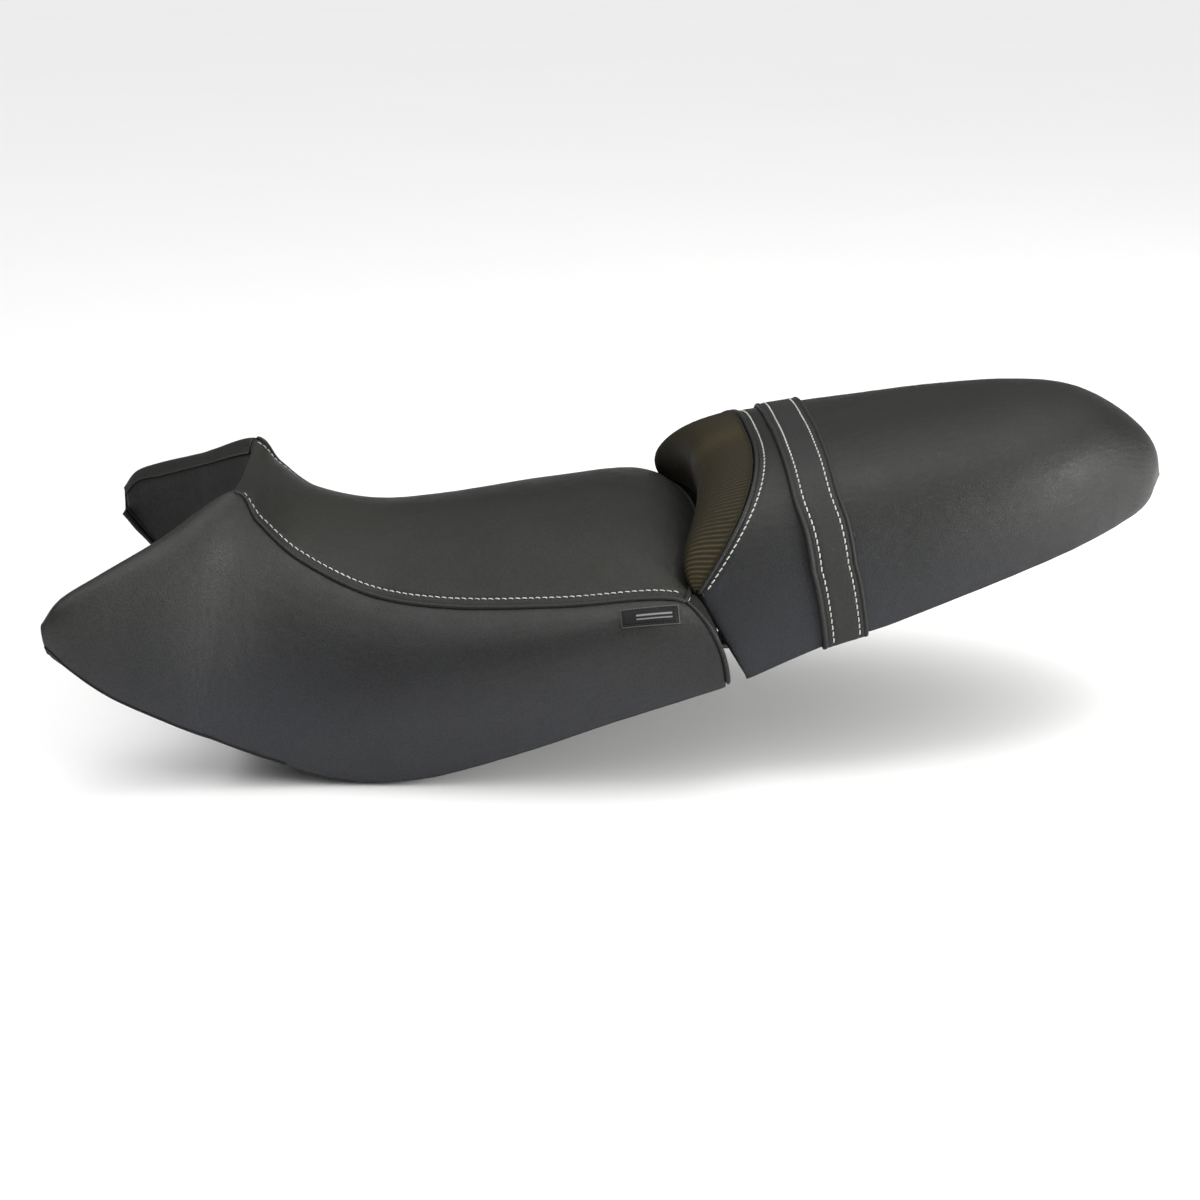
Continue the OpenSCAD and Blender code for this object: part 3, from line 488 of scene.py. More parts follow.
def top(p, u):
    """The rider's top panel: its nose for p from -1 to 0, then the deck back to 1."""
    p, u = both(p, u)
    return np.where((p < 0)[..., None], nose(u, np.maximum(-p, 0)), deck(np.maximum(p, 0), u))


def dash(q, v):
    q, v = both(q, v)
    k = np.where(q <= 1, q, 2 - q)
    p = mix(cr(LIP, k), cr(FOOT, k), v[..., None])
    p[..., 1] *= np.where(q <= 1, -1, 1)
    return p


def rump(u, r):
    u, r = both(u, r)
    h, one = np.array(HEM[-1], float), np.ones_like(u)
    d = xyz(-26 + (h[0] + 26) * u * u, h[1] * u, mix(8, h[2], u * u))
    e, m = side(one, r), mix(deck(1, 1), h, r[..., None])
    k, sign = np.abs(u)[..., None] ** 4, np.where(u < 0, -1, 1)
    return mix(deck(one, u), d, r[..., None]) + k * xyz(
        e[..., 0] - m[..., 0], (-e[..., 1] - m[..., 1]) * sign, e[..., 2] - m[..., 2])


def shell(s, v):
    s, v = both(s, v)
    k, g, n = cr(BACK, s), cr(SKIRT, s), 2 / cr(SQUARE, s)[..., 0]
    a = np.abs(v) * math.pi / 2
    sy, cz = np.maximum(0, np.sin(a)) ** n, np.maximum(0, np.cos(a)) ** n
    ct = math.cos(TIP_V * math.pi / 2) ** n
    b = np.where(np.abs(v) < TIP_V, (np.abs(v) / TIP_V) ** 3, cz / ct)
    f = np.maximum(0, 1 - s / 0.32) ** 3
    return xyz(mix(k[..., 0], g[..., 0], np.sin(a) ** 2) - TIP_X * b * f,
               g[..., 1] * sy * np.where(v < 0, -1, 1), g[..., 2] + (k[..., 1] - g[..., 2]) * cz)


def sill(v):
    p, t = shell(0, v), shell(0, TIP_V)
    c = np.abs(p[..., 1]) / t[1]
    return xyz(mix(-26, t[0], c * c), p[..., 1], mix(82, t[2], c**2.2))


def ramp(v, r):
    v, r = both(v, r)
    c = np.abs(v) / TIP_V
    out = 26 * np.sin(np.pi * r) * (1 - c**8)
    return mix(shell(0, v), sill(v), r[..., None]) + out[..., None] * np.array([-0.9, 0, 0.45])


def apron(u, r):
    u, r = both(u, r)
    h = np.array(SKIRT[0], float)
    d = xyz(-13 + (h[0] + 13) * u * u, h[1] * u, mix(16, h[2], u * u))
    e, m = shell(0, mix(TIP_V, 1, r)), mix(shell(0, TIP_V), h, r[..., None])
    k, sign = np.abs(u)[..., None] ** 4, np.where(u < 0, -1, 1)
    bow = 3.5 * np.sin(np.pi * r)
    shift = xyz(e[..., 0] - m[..., 0] + bow, (e[..., 1] - m[..., 1]) * sign, e[..., 2] - m[..., 2])
    return mix(sill(u * TIP_V), d, r[..., None]) + k * shift


def band(v, w):
    v, w = both(v, w)
    s = cr(STRAP_LINE, np.abs(v))[..., 0]
    gap = np.linalg.norm(shell(s + 0.02, v) - shell(s - 0.02, v), axis=-1)
    return shell(s + 0.04 * w / gap, v)


# -------------------- grids, relief and meshes
def normals(grid, sign):
    n = np.cross(np.gradient(grid, axis=0), np.gradient(grid, axis=1)) * sign
    return n / np.maximum(np.linalg.norm(n, axis=-1, keepdims=True), 1e-9)


def run(grid, axis):
    """Distance along one grid direction from its start and from its end."""
    d = np.linalg.norm(np.diff(grid, axis=axis), axis=-1)
    c = np.insert(np.cumsum(d, axis=axis), 0, 0, axis=axis)
    return c, np.take(c, [-1], axis=axis) - c


def length_along(path):
    """Distance along a line of points, from 0 at its first."""
    return np.insert(np.cumsum(np.linalg.norm(np.diff(path, axis=0), axis=1)), 0, 0)


def waves(grid, length, seed, parts=9):
    """Smooth irregular relief about length millimetres long, from -1 to 1."""
    rng = np.random.default_rng(seed)
    total = 0
    for _ in range(parts):
        way = rng.normal(size=3)
        way *= 2 * np.pi / (length * rng.uniform(0.7, 1.5)) / np.linalg.norm(way)
        total = total + np.sin(grid @ way + rng.uniform(0, 2 * np.pi))
    return total / parts**0.5 / 1.6


def bell(x, middle, width):
    return np.exp(-(((x - middle) / width) ** 2))


def make(name, points, faces, slot, body=None, node=(), colours=(), thick=0.0):
    """A mesh piece from points in millimetres, with its material, body and the CAD nodes it stands for."""
    mesh = bpy.data.meshes.new(name)
    mesh.from_pydata((np.asarray(points) * MM).tolist(), [], [list(map(int, f)) for f in faces])
    for key, values in colours:
        layer = mesh.attributes.new(key, "FLOAT", "POINT")
        layer.data.foreach_set("value", np.asarray(values, np.float32).ravel())
    bm = bmesh.new()
    bm.from_mesh(mesh)
    bmesh.ops.remove_doubles(bm, verts=bm.verts, dist=0.00002)
    bmesh.ops.dissolve_degenerate(bm, edges=bm.edges, dist=0.00001)
    bm.to_mesh(mesh)
    bm.free()
    mesh.polygons.foreach_set("use_smooth", [True] * len(mesh.polygons))
    mesh.materials.append(MATS[slot])
    obj = bpy.data.objects.new(name, mesh)
    SCENE.collection.objects.link(obj)
    if thick:
        solid = obj.modifiers.new("thickness", "SOLIDIFY")
        solid.thickness = thick * MM
        solid.offset = -1
    if body:
        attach(obj, body)
    if node:
        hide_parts(*node)
    return obj


def quads(rows, cols, base=0, flip=False, ring=False):
    i, j = np.meshgrid(np.arange(rows - 1), np.arange(cols if ring else cols - 1), indexing="ij")
    k = (j + 1) % cols
    f = np.stack([i * cols + j, (i + 1) * cols + j, (i + 1) * cols + k, i * cols + k], -1)
    f = f.reshape(-1, 4) + base
    return f[:, ::-1] if flip else f


def settle(surface, a, b, sign, keep=2.2, extra=0.012, push=1.2, seed=1):
    """Drapes a panel as sewn vinyl over foam with a cloth simulation: its seams are held, its middle is held
    softly as by glued foam, and a little spare cloth gathers beside the seams. Returns how far each point
    moved, in millimetres."""
    grid = surface(a[:, None], b[None, :])
    rows, cols = grid.shape[:2]
    rng = np.random.default_rng(seed)
    start = grid + normals(grid, sign) * rng.normal(0, 0.06, (rows, cols, 1))
    mesh = bpy.data.meshes.new("drape")
    mesh.from_pydata((start.reshape(-1, 3) * MM).tolist(), [], quads(rows, cols, flip=sign < 0).tolist())
    obj = bpy.data.objects.new("drape", mesh)
    SCENE.collection.objects.link(obj)
    la, ra = run(grid, 0)
    lb, rb = run(grid, 1)
    near = np.minimum(np.minimum(la, ra), np.minimum(lb, rb))
    held = np.where(near < 0.01, 1.0, 0.06 + 0.3 * np.clip(near / 60, 0, 1))
    hold, gather = obj.vertex_groups.new(name="hold"), obj.vertex_groups.new(name="gather")
    for i, (h, d) in enumerate(zip(held.ravel(), near.ravel())):
        hold.add([i], float(h), "REPLACE")
        gather.add([i], float(math.exp(-d / 28)), "REPLACE")
    cloth = obj.modifiers.new("cloth", "CLOTH")
    c = cloth.settings
    c.quality, c.mass = 6, 0.25
    c.tension_stiffness = c.compression_stiffness = 30
    c.shear_stiffness, c.bending_stiffness = 12, 1.5
    c.tension_damping = c.compression_damping = c.shear_damping = 8
    c.air_damping = 3
    c.vertex_group_mass, c.pin_stiffness = "hold", 1.0
    c.vertex_group_shrink, c.shrink_min, c.shrink_max = "gather", 0.0, -extra
    c.use_pressure, c.uniform_pressure_force = True, push
    c.effector_weights.gravity = 0
    cloth.collision_settings.use_collision = False
    cloth.point_cache.frame_start, cloth.point_cache.frame_end = 1, 20
    for f in range(1, 21):
        SCENE.frame_set(f)
    ready = obj.evaluated_get(bpy.context.evaluated_depsgraph_get())
    moved = np.empty(rows * cols * 3, np.float32)
    ready.data.vertices.foreach_get("co", moved)
    shift = moved.reshape(rows, cols, 3) / MM - grid
    SCENE.frame_set(1)
    bpy.data.objects.remove(obj)
    far = np.linalg.norm(shift, axis=-1, keepdims=True)
    print("settled", surface.__name__, "mean %.2f max %.2f mm" % (far.mean(), far.max()))
    return shift * np.minimum(1, keep / np.maximum(far, 1e-9)) * np.clip(near / 4, 0, 1)[..., None]


def lift(field, a, b, x, y):
    """A settled field read at the finer grid x, y."""
    i = np.clip(np.searchsorted(a, x) - 1, 0, len(a) - 2)
    j = np.clip(np.searchsorted(b, y) - 1, 0, len(b) - 2)
    f = ((x - a[i]) / (a[i + 1] - a[i]))[:, None, None]
    g = ((y - b[j]) / (b[j + 1] - b[j]))[None, :, None]
    f, g = f * f * (3 - 2 * f), g * g * (3 - 2 * g)

    def p(m, n):
        return field[np.ix_(i + m, j + n)]

    return (1 - f) * ((1 - g) * p(0, 0) + g * p(0, 1)) + f * ((1 - g) * p(1, 0) + g * p(1, 1))


def seam_relief(d, along, piped=True):
    """Relief beside a seam d millimetres away: the edge rolls in, and short puckers run from it."""
    pull = -(1.0 if piped else 1.5) * np.exp(-d / 2.2)
    return pull + 0.10 * np.exp(-d / 5) * np.sin(2 * np.pi * along / 5.3 + np.sin(along / 17))


def stitch_relief(d, along):
    """Relief of a topstitched line d millimetres away: the thread pulls a groove, deeper at each hole."""
    hole = 0.5 + 0.5 * np.cos(2 * np.pi * along / STITCH_PITCH)
    return -(0.34 + 0.22 * hole) * bell(d, 0, 1.3) + 0.16 * bell(d, 4, 2.4)


def stitches(name, lines, slot, body=None, node=(), pitch=STITCH_PITCH, size=0.55):
    """Separate thread stitches along lines of (points, outward normals), each dipping into its holes."""
    points, faces = [], []
    sides, knots = 8, np.array([-0.5, -0.44, -0.3, -0.1, 0.1, 0.3, 0.44, 0.5])
    for p, n in lines:
        length = length_along(p)
        count = int(length[-1] // pitch)
        for c in range(count):
            at = (c + 0.5) * pitch + knots * pitch * 0.86
            mid = np.stack([np.interp(at, length, p[:, k]) for k in range(3)], -1)
            up = np.stack([np.interp(at, length, n[:, k]) for k in range(3)], -1)
            up /= np.linalg.norm(up, axis=1)[:, None]
            way = mid[-1] - mid[0]
            way /= np.linalg.norm(way)
            over = np.cross(way, up)
            over /= np.linalg.norm(over, axis=1)[:, None]
            skew = knots * 0.5 * (1 if c % 2 else 0.7)
            high = 0.42 - 1.15 * np.abs(2 * knots) ** 5
            wide = size * np.array([0.25, 0.7, 0.95, 1.0, 1.0, 0.95, 0.7, 0.25])
            base = len(points)
            for k in range(len(knots)):
                centre = mid[k] + up[k] * high[k] + over[k] * skew[k]
                for s in range(sides):
                    a = 2 * np.pi * s / sides
                    points.append(centre + wide[k] * (math.cos(a) * over[k] + 0.72 * math.sin(a) * up[k]))
            faces += list(quads(len(knots), sides, base, ring=True))
            faces.append([base + s for s in range(sides)][::-1])
            last = base + (len(knots) - 1) * sides
            faces.append([last + s for s in range(sides)])
    return make(name, points, faces, slot, body, node)


def tube(name, path, radius, slot, body, node=(), sides=14):
    """Piping: a round cord in a sewn sleeve, with faint stitch waists along it."""
    way = np.gradient(path, axis=0)
    way /= np.linalg.norm(way, axis=1)[:, None]
    up = np.array([0.0, 0.0, 1.0]) - way * way[:, 2:3]
    up /= np.maximum(np.linalg.norm(up, axis=1), 1e-6)[:, None]
    over = np.cross(way, up)
    length = length_along(path)
    r = radius * (1 - 0.05 * np.cos(2 * np.pi * length / STITCH_PITCH) ** 8 + 0.015 * np.sin(length / 9))
    ends = np.minimum(length, length[-1] - length)
    r = r * np.sqrt(np.clip(ends / radius, 0.02, 1) * (2 - np.clip(ends / radius, 0.02, 1)))
    a = 2 * np.pi * np.arange(sides) / sides
    ring = (path[:, None] + (r[:, None] * np.cos(a))[..., None] * over[:, None]
            + (r[:, None] * np.sin(a))[..., None] * up[:, None])
    faces = quads(len(path), sides, ring=True).tolist()
    faces += [list(range(sides))[::-1], [(len(path) - 1) * sides + s for s in range(sides)]]
    return make(name, ring.reshape(-1, 3), faces, slot, body, node)


def ease_grid(count, lo, hi, ease):
    """count steps from lo to hi, closer together at both ends as ease grows to 1."""
    t = np.linspace(0, 1, count)
    t = (1 - ease) * t + ease * (0.5 - 0.5 * np.cos(np.pi * t))
    return lo + (hi - lo) * t


def normals_at(surface, a, b, sign, e=0.004):
    n = np.cross(surface(a + e, b) - surface(a - e, b), surface(a, b + e) - surface(a, b - e)) * sign
    return n / np.maximum(np.linalg.norm(n, axis=-1, keepdims=True), 1e-9)


def both_sides(build, points):
    """Builds one piece from points on the rider's left and its mirror image on the right."""
    for name, flip in (("left", 1), ("right", -1)):
        build(name, points * [1, flip, 1], flip)


def panel(name, surface, a, b, sign, slot, body, node, edges, field=None, lines=(), seed=1,
          extra=None):
    """A cover panel: its surface, the settled cloth field, soft unevenness, and relief beside seams and
    stitched lines. edges names the sides with a seam, a0, a1, b0 or b1, each with its kind and strength.
    Returns the panel's grid and its normals."""
    base = surface(a[:, None], b[None, :])
    n = normals(base, sign)
    (a0, a1), (b0, b1) = run(base, 0), run(base, 1)
    far = {"a0": a0, "a1": a1, "b0": b0, "b1": b1}
    along = {"a0": b0, "a1": b0, "b0": a0, "b1": a0}
    nearest = np.min([far[e] for e in far], axis=0)
    relief = 0.5 * waves(base, 75, seed) * np.clip(nearest / 25, 0, 1)
    relief += 0.16 * waves(base, 17, seed + 1) * np.exp(-nearest / 16) * np.clip(nearest / 5, 0, 1)
    # dark is painted shade beside each seam and along each stitched groove, passed to the material as the
    # seam attribute
    dark = np.zeros(base.shape[:2])
    for e, (kind, weight) in edges.items():
        piped = kind == "piped"
        relief += weight * seam_relief(far[e], along[e], piped)
        dark = np.maximum(dark, weight * np.exp(-far[e] / (2.2 if piped else 3.5)))
    for e, distance in lines:
        d = far[e] - distance
        relief += stitch_relief(d, along[e])
        dark = np.maximum(dark, 0.5 * bell(d, 0, 1.1))
    if extra is not None:
        relief += extra(base)
    grid = base + n * relief[..., None]
    if field is not None:
        grid = grid + lift(field[2], field[0], field[1], a, b)
    rows, cols = grid.shape[:2]
    faces = quads(rows, cols, flip=sign < 0)
    obj = make(name, grid.reshape(-1, 3), faces, slot, body, node, [("seam", dark)], COVER_T)
    return grid, normals(grid, sign)


# -------------------- rider section
def rider_top():
    p = np.concatenate([np.linspace(-1, 0, 12)[:-1], ease_grid(250, 0.0, 0.996, 0.35)])
    u = ease_grid(150, -0.997, 0.997, 0.75)
    ca, cb = np.linspace(0, 0.996, 62), np.linspace(-0.997, 0.997, 54)
    field = settle(top, ca, cb, 1, seed=3)
    ca = np.concatenate([[-1.0], ca])
    field = np.concatenate([field[:1] * 0, field])

    def crown_marks(base):
        return -0.5 * bell(base[..., 0], -352, 16) * np.clip(1 - np.abs(base[..., 1]) / 60, 0, 1)

    grid, n = panel(
        "rider_top_panel", top, p, u, 1, "vinyl_top", RIDER, ["rider_top_cover"],
        {"b0": PIPED, "b1": PIPED, "a1": PIPED, "a0": ("plain", 0.5)}, (ca, cb, field),
        [("b0", TOPSTITCH), ("b1", TOPSTITCH)], 11, crown_marks)
    from_left, from_right = run(grid, 1)
    to_rear = run(grid, 0)[1]
    rows = np.arange(np.searchsorted(p, 0.004), len(p))
    steps = np.arange(len(u))
    left = np.array([np.interp(TOPSTITCH, from_left[r], steps) for r in rows])
    right = len(u) - 1 - np.array([np.interp(TOPSTITCH, from_right[r][::-1], steps) for r in rows])
    for name, place in (("left", left), ("right", right)):
        i = place.astype(int)
        f = (place - i)[:, None]
        line = (1 - f) * grid[rows, i] + f * grid[rows, i + 1]
        keep = to_rear[rows, i] > 7
        stitches("rider_%s_topstitch" % name, [(line[keep], n[rows, i][keep])], "white_thread", RIDER,
                 ["rider_%s_stitching" % name])


def rider_sides():
    nose = ease_grid(90, 0.0, CORNER, 0.3)
    s = np.concatenate([nose[:-1], ease_grid(240, CORNER, 0.996, 0.3)])
    v = np.concatenate([ease_grid(60, 0.0, 0.5, 0.5)[:-1], ease_grid(34, 0.5, 1.0, 0.3)])
    cs, cv = np.linspace(0, 0.996, 84), np.linspace(0, 1, 30)
    field = settle(side, cs, cv, -1, seed=5)
    base = side(s[:, None], v[None, :])
    n = normals(base, -1)
    (a0, a1), (b0, b1) = run(base, 0), run(base, 1)
    fade = np.clip((s - CORNER - 0.004) / 0.02, 0, 1)[:, None]
    inner = np.clip(np.minimum(a1, np.minimum(b0, b1)) / 25, 0, 1) * np.clip(a0 / 25, 0, 1)
    relief = 0.55 * waves(base, 90, 21) * inner
    relief += fade * seam_relief(b0, a0) + seam_relief(a1, b0) * 0.8
    relief += fade * 0.14 * waves(base, 15, 22) * np.exp(-b0 / 14)
    relief += 0.22 * waves(base, 19, 23) * np.exp(-b1 / 13) * np.clip(a1 / 10, 0, 1)
    relief -= 1.0 * np.exp(-b1 / 3.0)
    # painted shade: darker beside the top seam, the rear edge and the hem
    dark = np.maximum(fade * np.exp(-b0 / 2.2), np.maximum(np.exp(-a1 / 2.5), 0.8 * np.exp(-b1 / 3.0)))
    grid = base + n * relief[..., None] + lift(field, cs, cv, s, v)
    # the wing's rounded crest, and the hem folded in under the pan
    r = np.linspace(1, 0, 14)
    count = len(nose)
    cap = crest(s[:count, None], r[None, :])
    cap[:, -1] = grid[:count, 0]
    gather = 0.35 * waves(grid[:, -1:], 16, 24)[:, 0]
    hem = [grid[:, -1] + np.stack([0 * s, np.full_like(s, a), b + gather * (a / 15)], -1)
           for a, b in SIDE_FOLD]
    whole = np.concatenate([grid, np.stack(hem, 1)], 1)
    # painted shade on the hem folded in under the pan
    dark = np.concatenate([dark, np.full((len(s), len(SIDE_FOLD)), 0.5)], 1)
    rows, cols = whole.shape[:2]
    # painted shade along the lip seam of the wing's crest
    seam = np.concatenate([dark.ravel(), (bell(r, 1, 0.2) * 0.8 + 0 * cap[..., 0]).ravel()])
    faces = np.concatenate([quads(rows, cols, flip=True), quads(count, len(r), rows * cols, flip=True)])

    def build(name, points, flip):
        turned = faces if flip > 0 else faces[:, ::-1]
        obj = make("rider_%s_panel" % name, points, turned, "vinyl_side", RIDER,
                   ["rider_%s_side_cover" % name], [("seam", seam)], COVER_T)

    both_sides(build, np.concatenate([whole.reshape(-1, 3), cap.reshape(-1, 3)]))


def rider_front():
    q, w = ease_grid(300, 0.004, 1.996, 0.3), ease_grid(60, 0.004, 1.0, 0.4)
    cq, cw = np.linspace(0.004, 1.996, 90), np.linspace(0.004, 1, 22)
    panel("rider_tank_panel", dash, q, w, 1, "vinyl_dark", RIDER, ["rider_front_cover"],
          {"b0": PLAIN, "a0": PLAIN, "a1": PLAIN, "b1": ("plain", 0.6)},
          (cq, cw, settle(dash, cq, cw, 1, keep=1.5, push=0.8, seed=6)), (), 31)


def wing_linings():
    """Cloth turned under both wings of the nose, between the side hem and the foot of the tank panel, and up
    the inner face of the foam behind them."""
    k, m = np.linspace(0, 1, 140), np.linspace(0, 1, 26)
    outer = side(0.535 * k, 0 * k + 1)
    inner = dash(np.minimum(0.9 * k, 0.675), 0 * k + 1)
    past = k > 0.75
    route = ([-389, -385, -358], [92, 86.8, 86.8], [-43, -46, -58])
    inner[past] = np.stack([np.interp(k[past], [0.75, 0.8, 1], c) for c in route], -1)
    across = m[None, :, None]
    under = (1 - across) * outer[:, None] + across * inner[:, None]
    wide = np.linalg.norm(outer - inner, axis=1)[:, None]
    under[..., 2] += 0.35 * waves(under, 34, 35) * np.clip(wide / 30, 0, 1) * np.sin(np.pi * m)[None, :]
    # the height of the foam's underside along x, which the lining stays just below
    foam_x = [-506, -480, -466, -447, -426, -413, -404, -390, -375, -355]
    foam_z = [36, 12, 1, -11, -23, -30, -35, -42, -49, -57.5]
    limit = np.interp(under[..., 0], foam_x, foam_z) - 1.7
    to_edge = np.minimum(m, 1 - m)[None, :] * wide
    inside = np.clip(to_edge / 4, 0, 1)
    lowered = (1 - inside) * under[..., 2] + inside * limit
    under[..., 2] = np.where(under[..., 2] > limit, lowered, under[..., 2])
    rise = np.clip((k - 0.76) / 0.04, 0, 1)[:, None] * np.linspace(0.1, 1, 8)
    wall = under[:, -1:] + np.stack([0 * rise, 0 * rise, rise * (25.4 - under[:, -1:, 2])], -1)
    under = np.concatenate([under, wall], 1)
    rows, cols = under.shape[:2]
    faces_down = normals(under, 1)[60, 12, 2] < 0
    # painted shade along the lining's edges and faintly over the wall behind
    seam = np.exp(-np.concatenate([to_edge, 0 * rise + 6], 1) / 3)

    def build(name, points, flip):
        faces = quads(rows, cols, flip=(not faces_down) == (flip > 0))
        obj = make("rider_%s_wing_lining" % name, points, faces, "vinyl_dark", RIDER, (), [("seam", seam)],
                   LINING_T)

    both_sides(build, under.reshape(-1, 3))


def rider_rear():
    q, w = ease_grid(200, -0.99, 0.99, 0.5), ease_grid(70, 0.02, 1.0, 0.5)
    panel("rider_rear_panel", rump, q, w, -1, "vinyl_dark", RIDER, ["rider_rear_cover"],
          {"b0": PIPED, "a0": PIPED, "a1": PIPED}, None, (), 41)


def rider_pipings():
    """Piping in the side seams, across the back and down the rear edges."""
    k = ease_grid(300, CORNER + 0.002, 0.9985, 0.2)
    path = side(k, 0 * k) - normals_at(side, k, 0.02 * np.ones_like(k), -1) * 0.2

    def seam_cord(name, points, _):
        tube("rider_%s_piping_cord" % name, points, CORD_R, BLACK, RIDER, ["rider_%s_piping" % name])

    both_sides(seam_cord, path)
    k = np.linspace(-0.998, 0.998, 260)
    back = deck(0 * k + 1, k) + [-0.8, 0, -0.2]
    tube("rider_rear_piping_cord", back, THIN_CORD_R, BLACK, RIDER, ["rider_rear_piping"])
    k = np.linspace(0.002, 0.965, 70)
    edge = side(0 * k + 0.9985, k) + [-0.6, 0.7, 0]

    def edge_cord(name, points, _):
        tube("rider_%s_rear_edge_cord" % name, points, THIN_CORD_R, BLACK, RIDER)

    both_sides(edge_cord, edge)


def rider_tag():
    """A blank woven tag sewn under the left seam, bent to the panel below it."""
    long, high = TAG_HALF
    near = side(np.linspace(0.82, 0.94, 30)[:, None], np.linspace(0.05, 0.26, 30)[None, :]).reshape(-1, 3)
    middle = side(np.array(0.8925), np.array(0.145))
    way = side(np.array(0.93), np.array(0.14)) - side(np.array(0.85), np.array(0.14))
    way /= np.linalg.norm(way)
    up = normals_at(side, np.array(0.8925), np.array(0.145), -1)
    up -= way * (up @ way)
    up /= np.linalg.norm(up)
    down = np.cross(way, up)
    down *= -1 if down[2] > 0 else 1

    def bend(x, y):
        return np.stack([1 + 0 * x, x, y, x * x, x * y, y * y, x**3, x * x * y, x * y * y, y**3], -1)

    flat = near - middle
    shape = np.linalg.lstsq(bend(flat @ way, flat @ down), flat @ up, rcond=None)[0]
    x, y = np.meshgrid(np.linspace(-long, long, 85), np.linspace(-high, high, 33), indexing="ij")
    edge = np.minimum(long - np.abs(x), high - np.abs(y))
    rise = bend(x, y) @ shape + 1.5 + 0.35 * np.clip(edge / 1.2, 0, 1) - 0.3 * bell(edge, 1.7, 0.4)
    rise = rise + 0.12 * np.sin(x / 4.5) * np.sin(y / 3 + 1)
    grid = middle + x[..., None] * way + y[..., None] * down + rise[..., None] * up
    stripe = np.clip(bell(y, -1.2, 0.55) + bell(y, 1.6, 0.35), 0, 1) * (np.abs(x - 3) < 13)
    stripe = np.maximum(stripe, 0.35 * bell(edge, 0.3, 0.35))
    faces_out = normals(grid, 1)[40, 16] @ up > 0
    make("rider_blank_tag", grid.reshape(-1, 3), quads(*x.shape, flip=not faces_out), "tag_fabric", RIDER,
         ["label_tag"], [("stripe", stripe)], TAG_T)
    hems = [(grid[2:-2, j] + up * 0.05, np.broadcast_to(up, (81, 3))) for j in (4, -5)]
    stitches("rider_tag_stitches", hems, "piping_vinyl", RIDER, pitch=2.6, size=0.22)


# -------------------- passenger section
def passenger_shell():
    s = np.concatenate([ease_grid(170, 0.0, 0.9, 0.2)[:-1], np.linspace(0.9, 1, 40)])
    v = ease_grid(330, -1, 1, 0.35)
    cs, cv = np.linspace(0, 0.97, 74), np.linspace(-1, 1, 104)
    field = settle(shell, cs, cv, 1, seed=7)
    base = shell(s[:, None], v[None, :])
    n = normals(base, 1)
    (a0, a1), (b0, b1) = run(base, 0), run(base, 1)
    arch = (np.abs(v) < TIP_V)[None, :] * np.ones_like(a0)
    rim = np.minimum(b0, b1)
    inner = np.clip(np.minimum(a0, rim) / 25, 0, 1) * np.clip(a1 / 40, 0, 1)
    round_arch = length_along(base[0])[None, :]
    relief = 0.55 * waves(base, 95, 51) * inner
    relief += seam_relief(a0, round_arch)
    relief += arch * stitch_relief(a0 - INSERT_STITCH, round_arch)
    relief += 0.15 * waves(base, 15, 52) * np.exp(-a0 / 16) * np.clip(a0 / 5, 0, 1)
    relief += 0.22 * waves(base, 19, 53) * np.exp(-rim / 13) * np.clip(a1 / 40, 0, 1)
    relief -= 1.0 * np.exp(-rim / 3.0) * np.clip(a1 / 20, 0, 1)
    under = cr(STRAP_LINE, np.abs(v))[:, 0][None, :]
    middle = np.array([np.interp(u, s, a0[:, i]) for i, u in enumerate(under[0])])[None, :]
    relief -= 0.35 * bell(a0, middle, 16) * np.clip(a1 / 40, 0, 1)
    # painted shade in the insert's stitch groove, beside the insert seam and along the rim
    thread_line = 0.5 * arch * bell(a0, INSERT_STITCH, 1.1)
    dark = np.maximum(np.exp(-a0 / 2.2), np.maximum(0.8 * np.exp(-rim / 3.0), thread_line))
    grid = base + n * relief[..., None]
    grid += lift(field, cs, cv, np.minimum(s, 0.9699), v) * np.clip((0.97 - s) / 0.05, 0, 1)[:, None, None]
    rows, cols = grid.shape[:2]
    # the hem folded in under the pan, fading out where the rim meets itself at the tail
    sides = []
    for j, way in ((0, 1), (cols - 1, -1)):
        edge = grid[:, j]
        wide = np.clip(np.abs(edge[:, 1]) / 15, 0, 1)
        gather = 0.35 * waves(edge, 16, 54)
        sides.append(np.stack([edge + np.stack([0 * s, way * a * wide, (b + gather * a / 15) * wide], -1)
                               for a, b in SHELL_FOLD], 1))
    whole = np.concatenate([sides[0][:, ::-1], grid, sides[1]], 1)
    # painted shade on the hem folded in under the pan
    painted_hem_shade = np.full((rows, len(SHELL_FOLD)), 0.5)
    dark = np.concatenate([painted_hem_shade, dark, painted_hem_shade], 1)
    obj = make("passenger_main_panel", whole.reshape(-1, 3), quads(*whole.shape[:2]), "vinyl_rear", PASSENGER,
               ["passenger_main_cover"], [("seam", dark)], COVER_T)

    keep = np.where(np.abs(v) < TIP_V * 0.995)[0]

    def on_line(values):
        places = [[np.interp(INSERT_STITCH, a0[:, j], values[:, j, k]) for k in range(3)] for j in keep]
        return np.array(places)

    stitches("insert_topstitch", [(on_line(grid), on_line(normals(grid, 1)))], "white_thread", PASSENGER,
             ["insert_stitching"])
    k = np.linspace(-TIP_V * 0.998, TIP_V * 0.998, 420)
    tube("insert_piping_cord", shell(0 * k, k) + [0.2, 0, 0.1], CORD_R, BLACK, PASSENGER, ["insert_piping"])


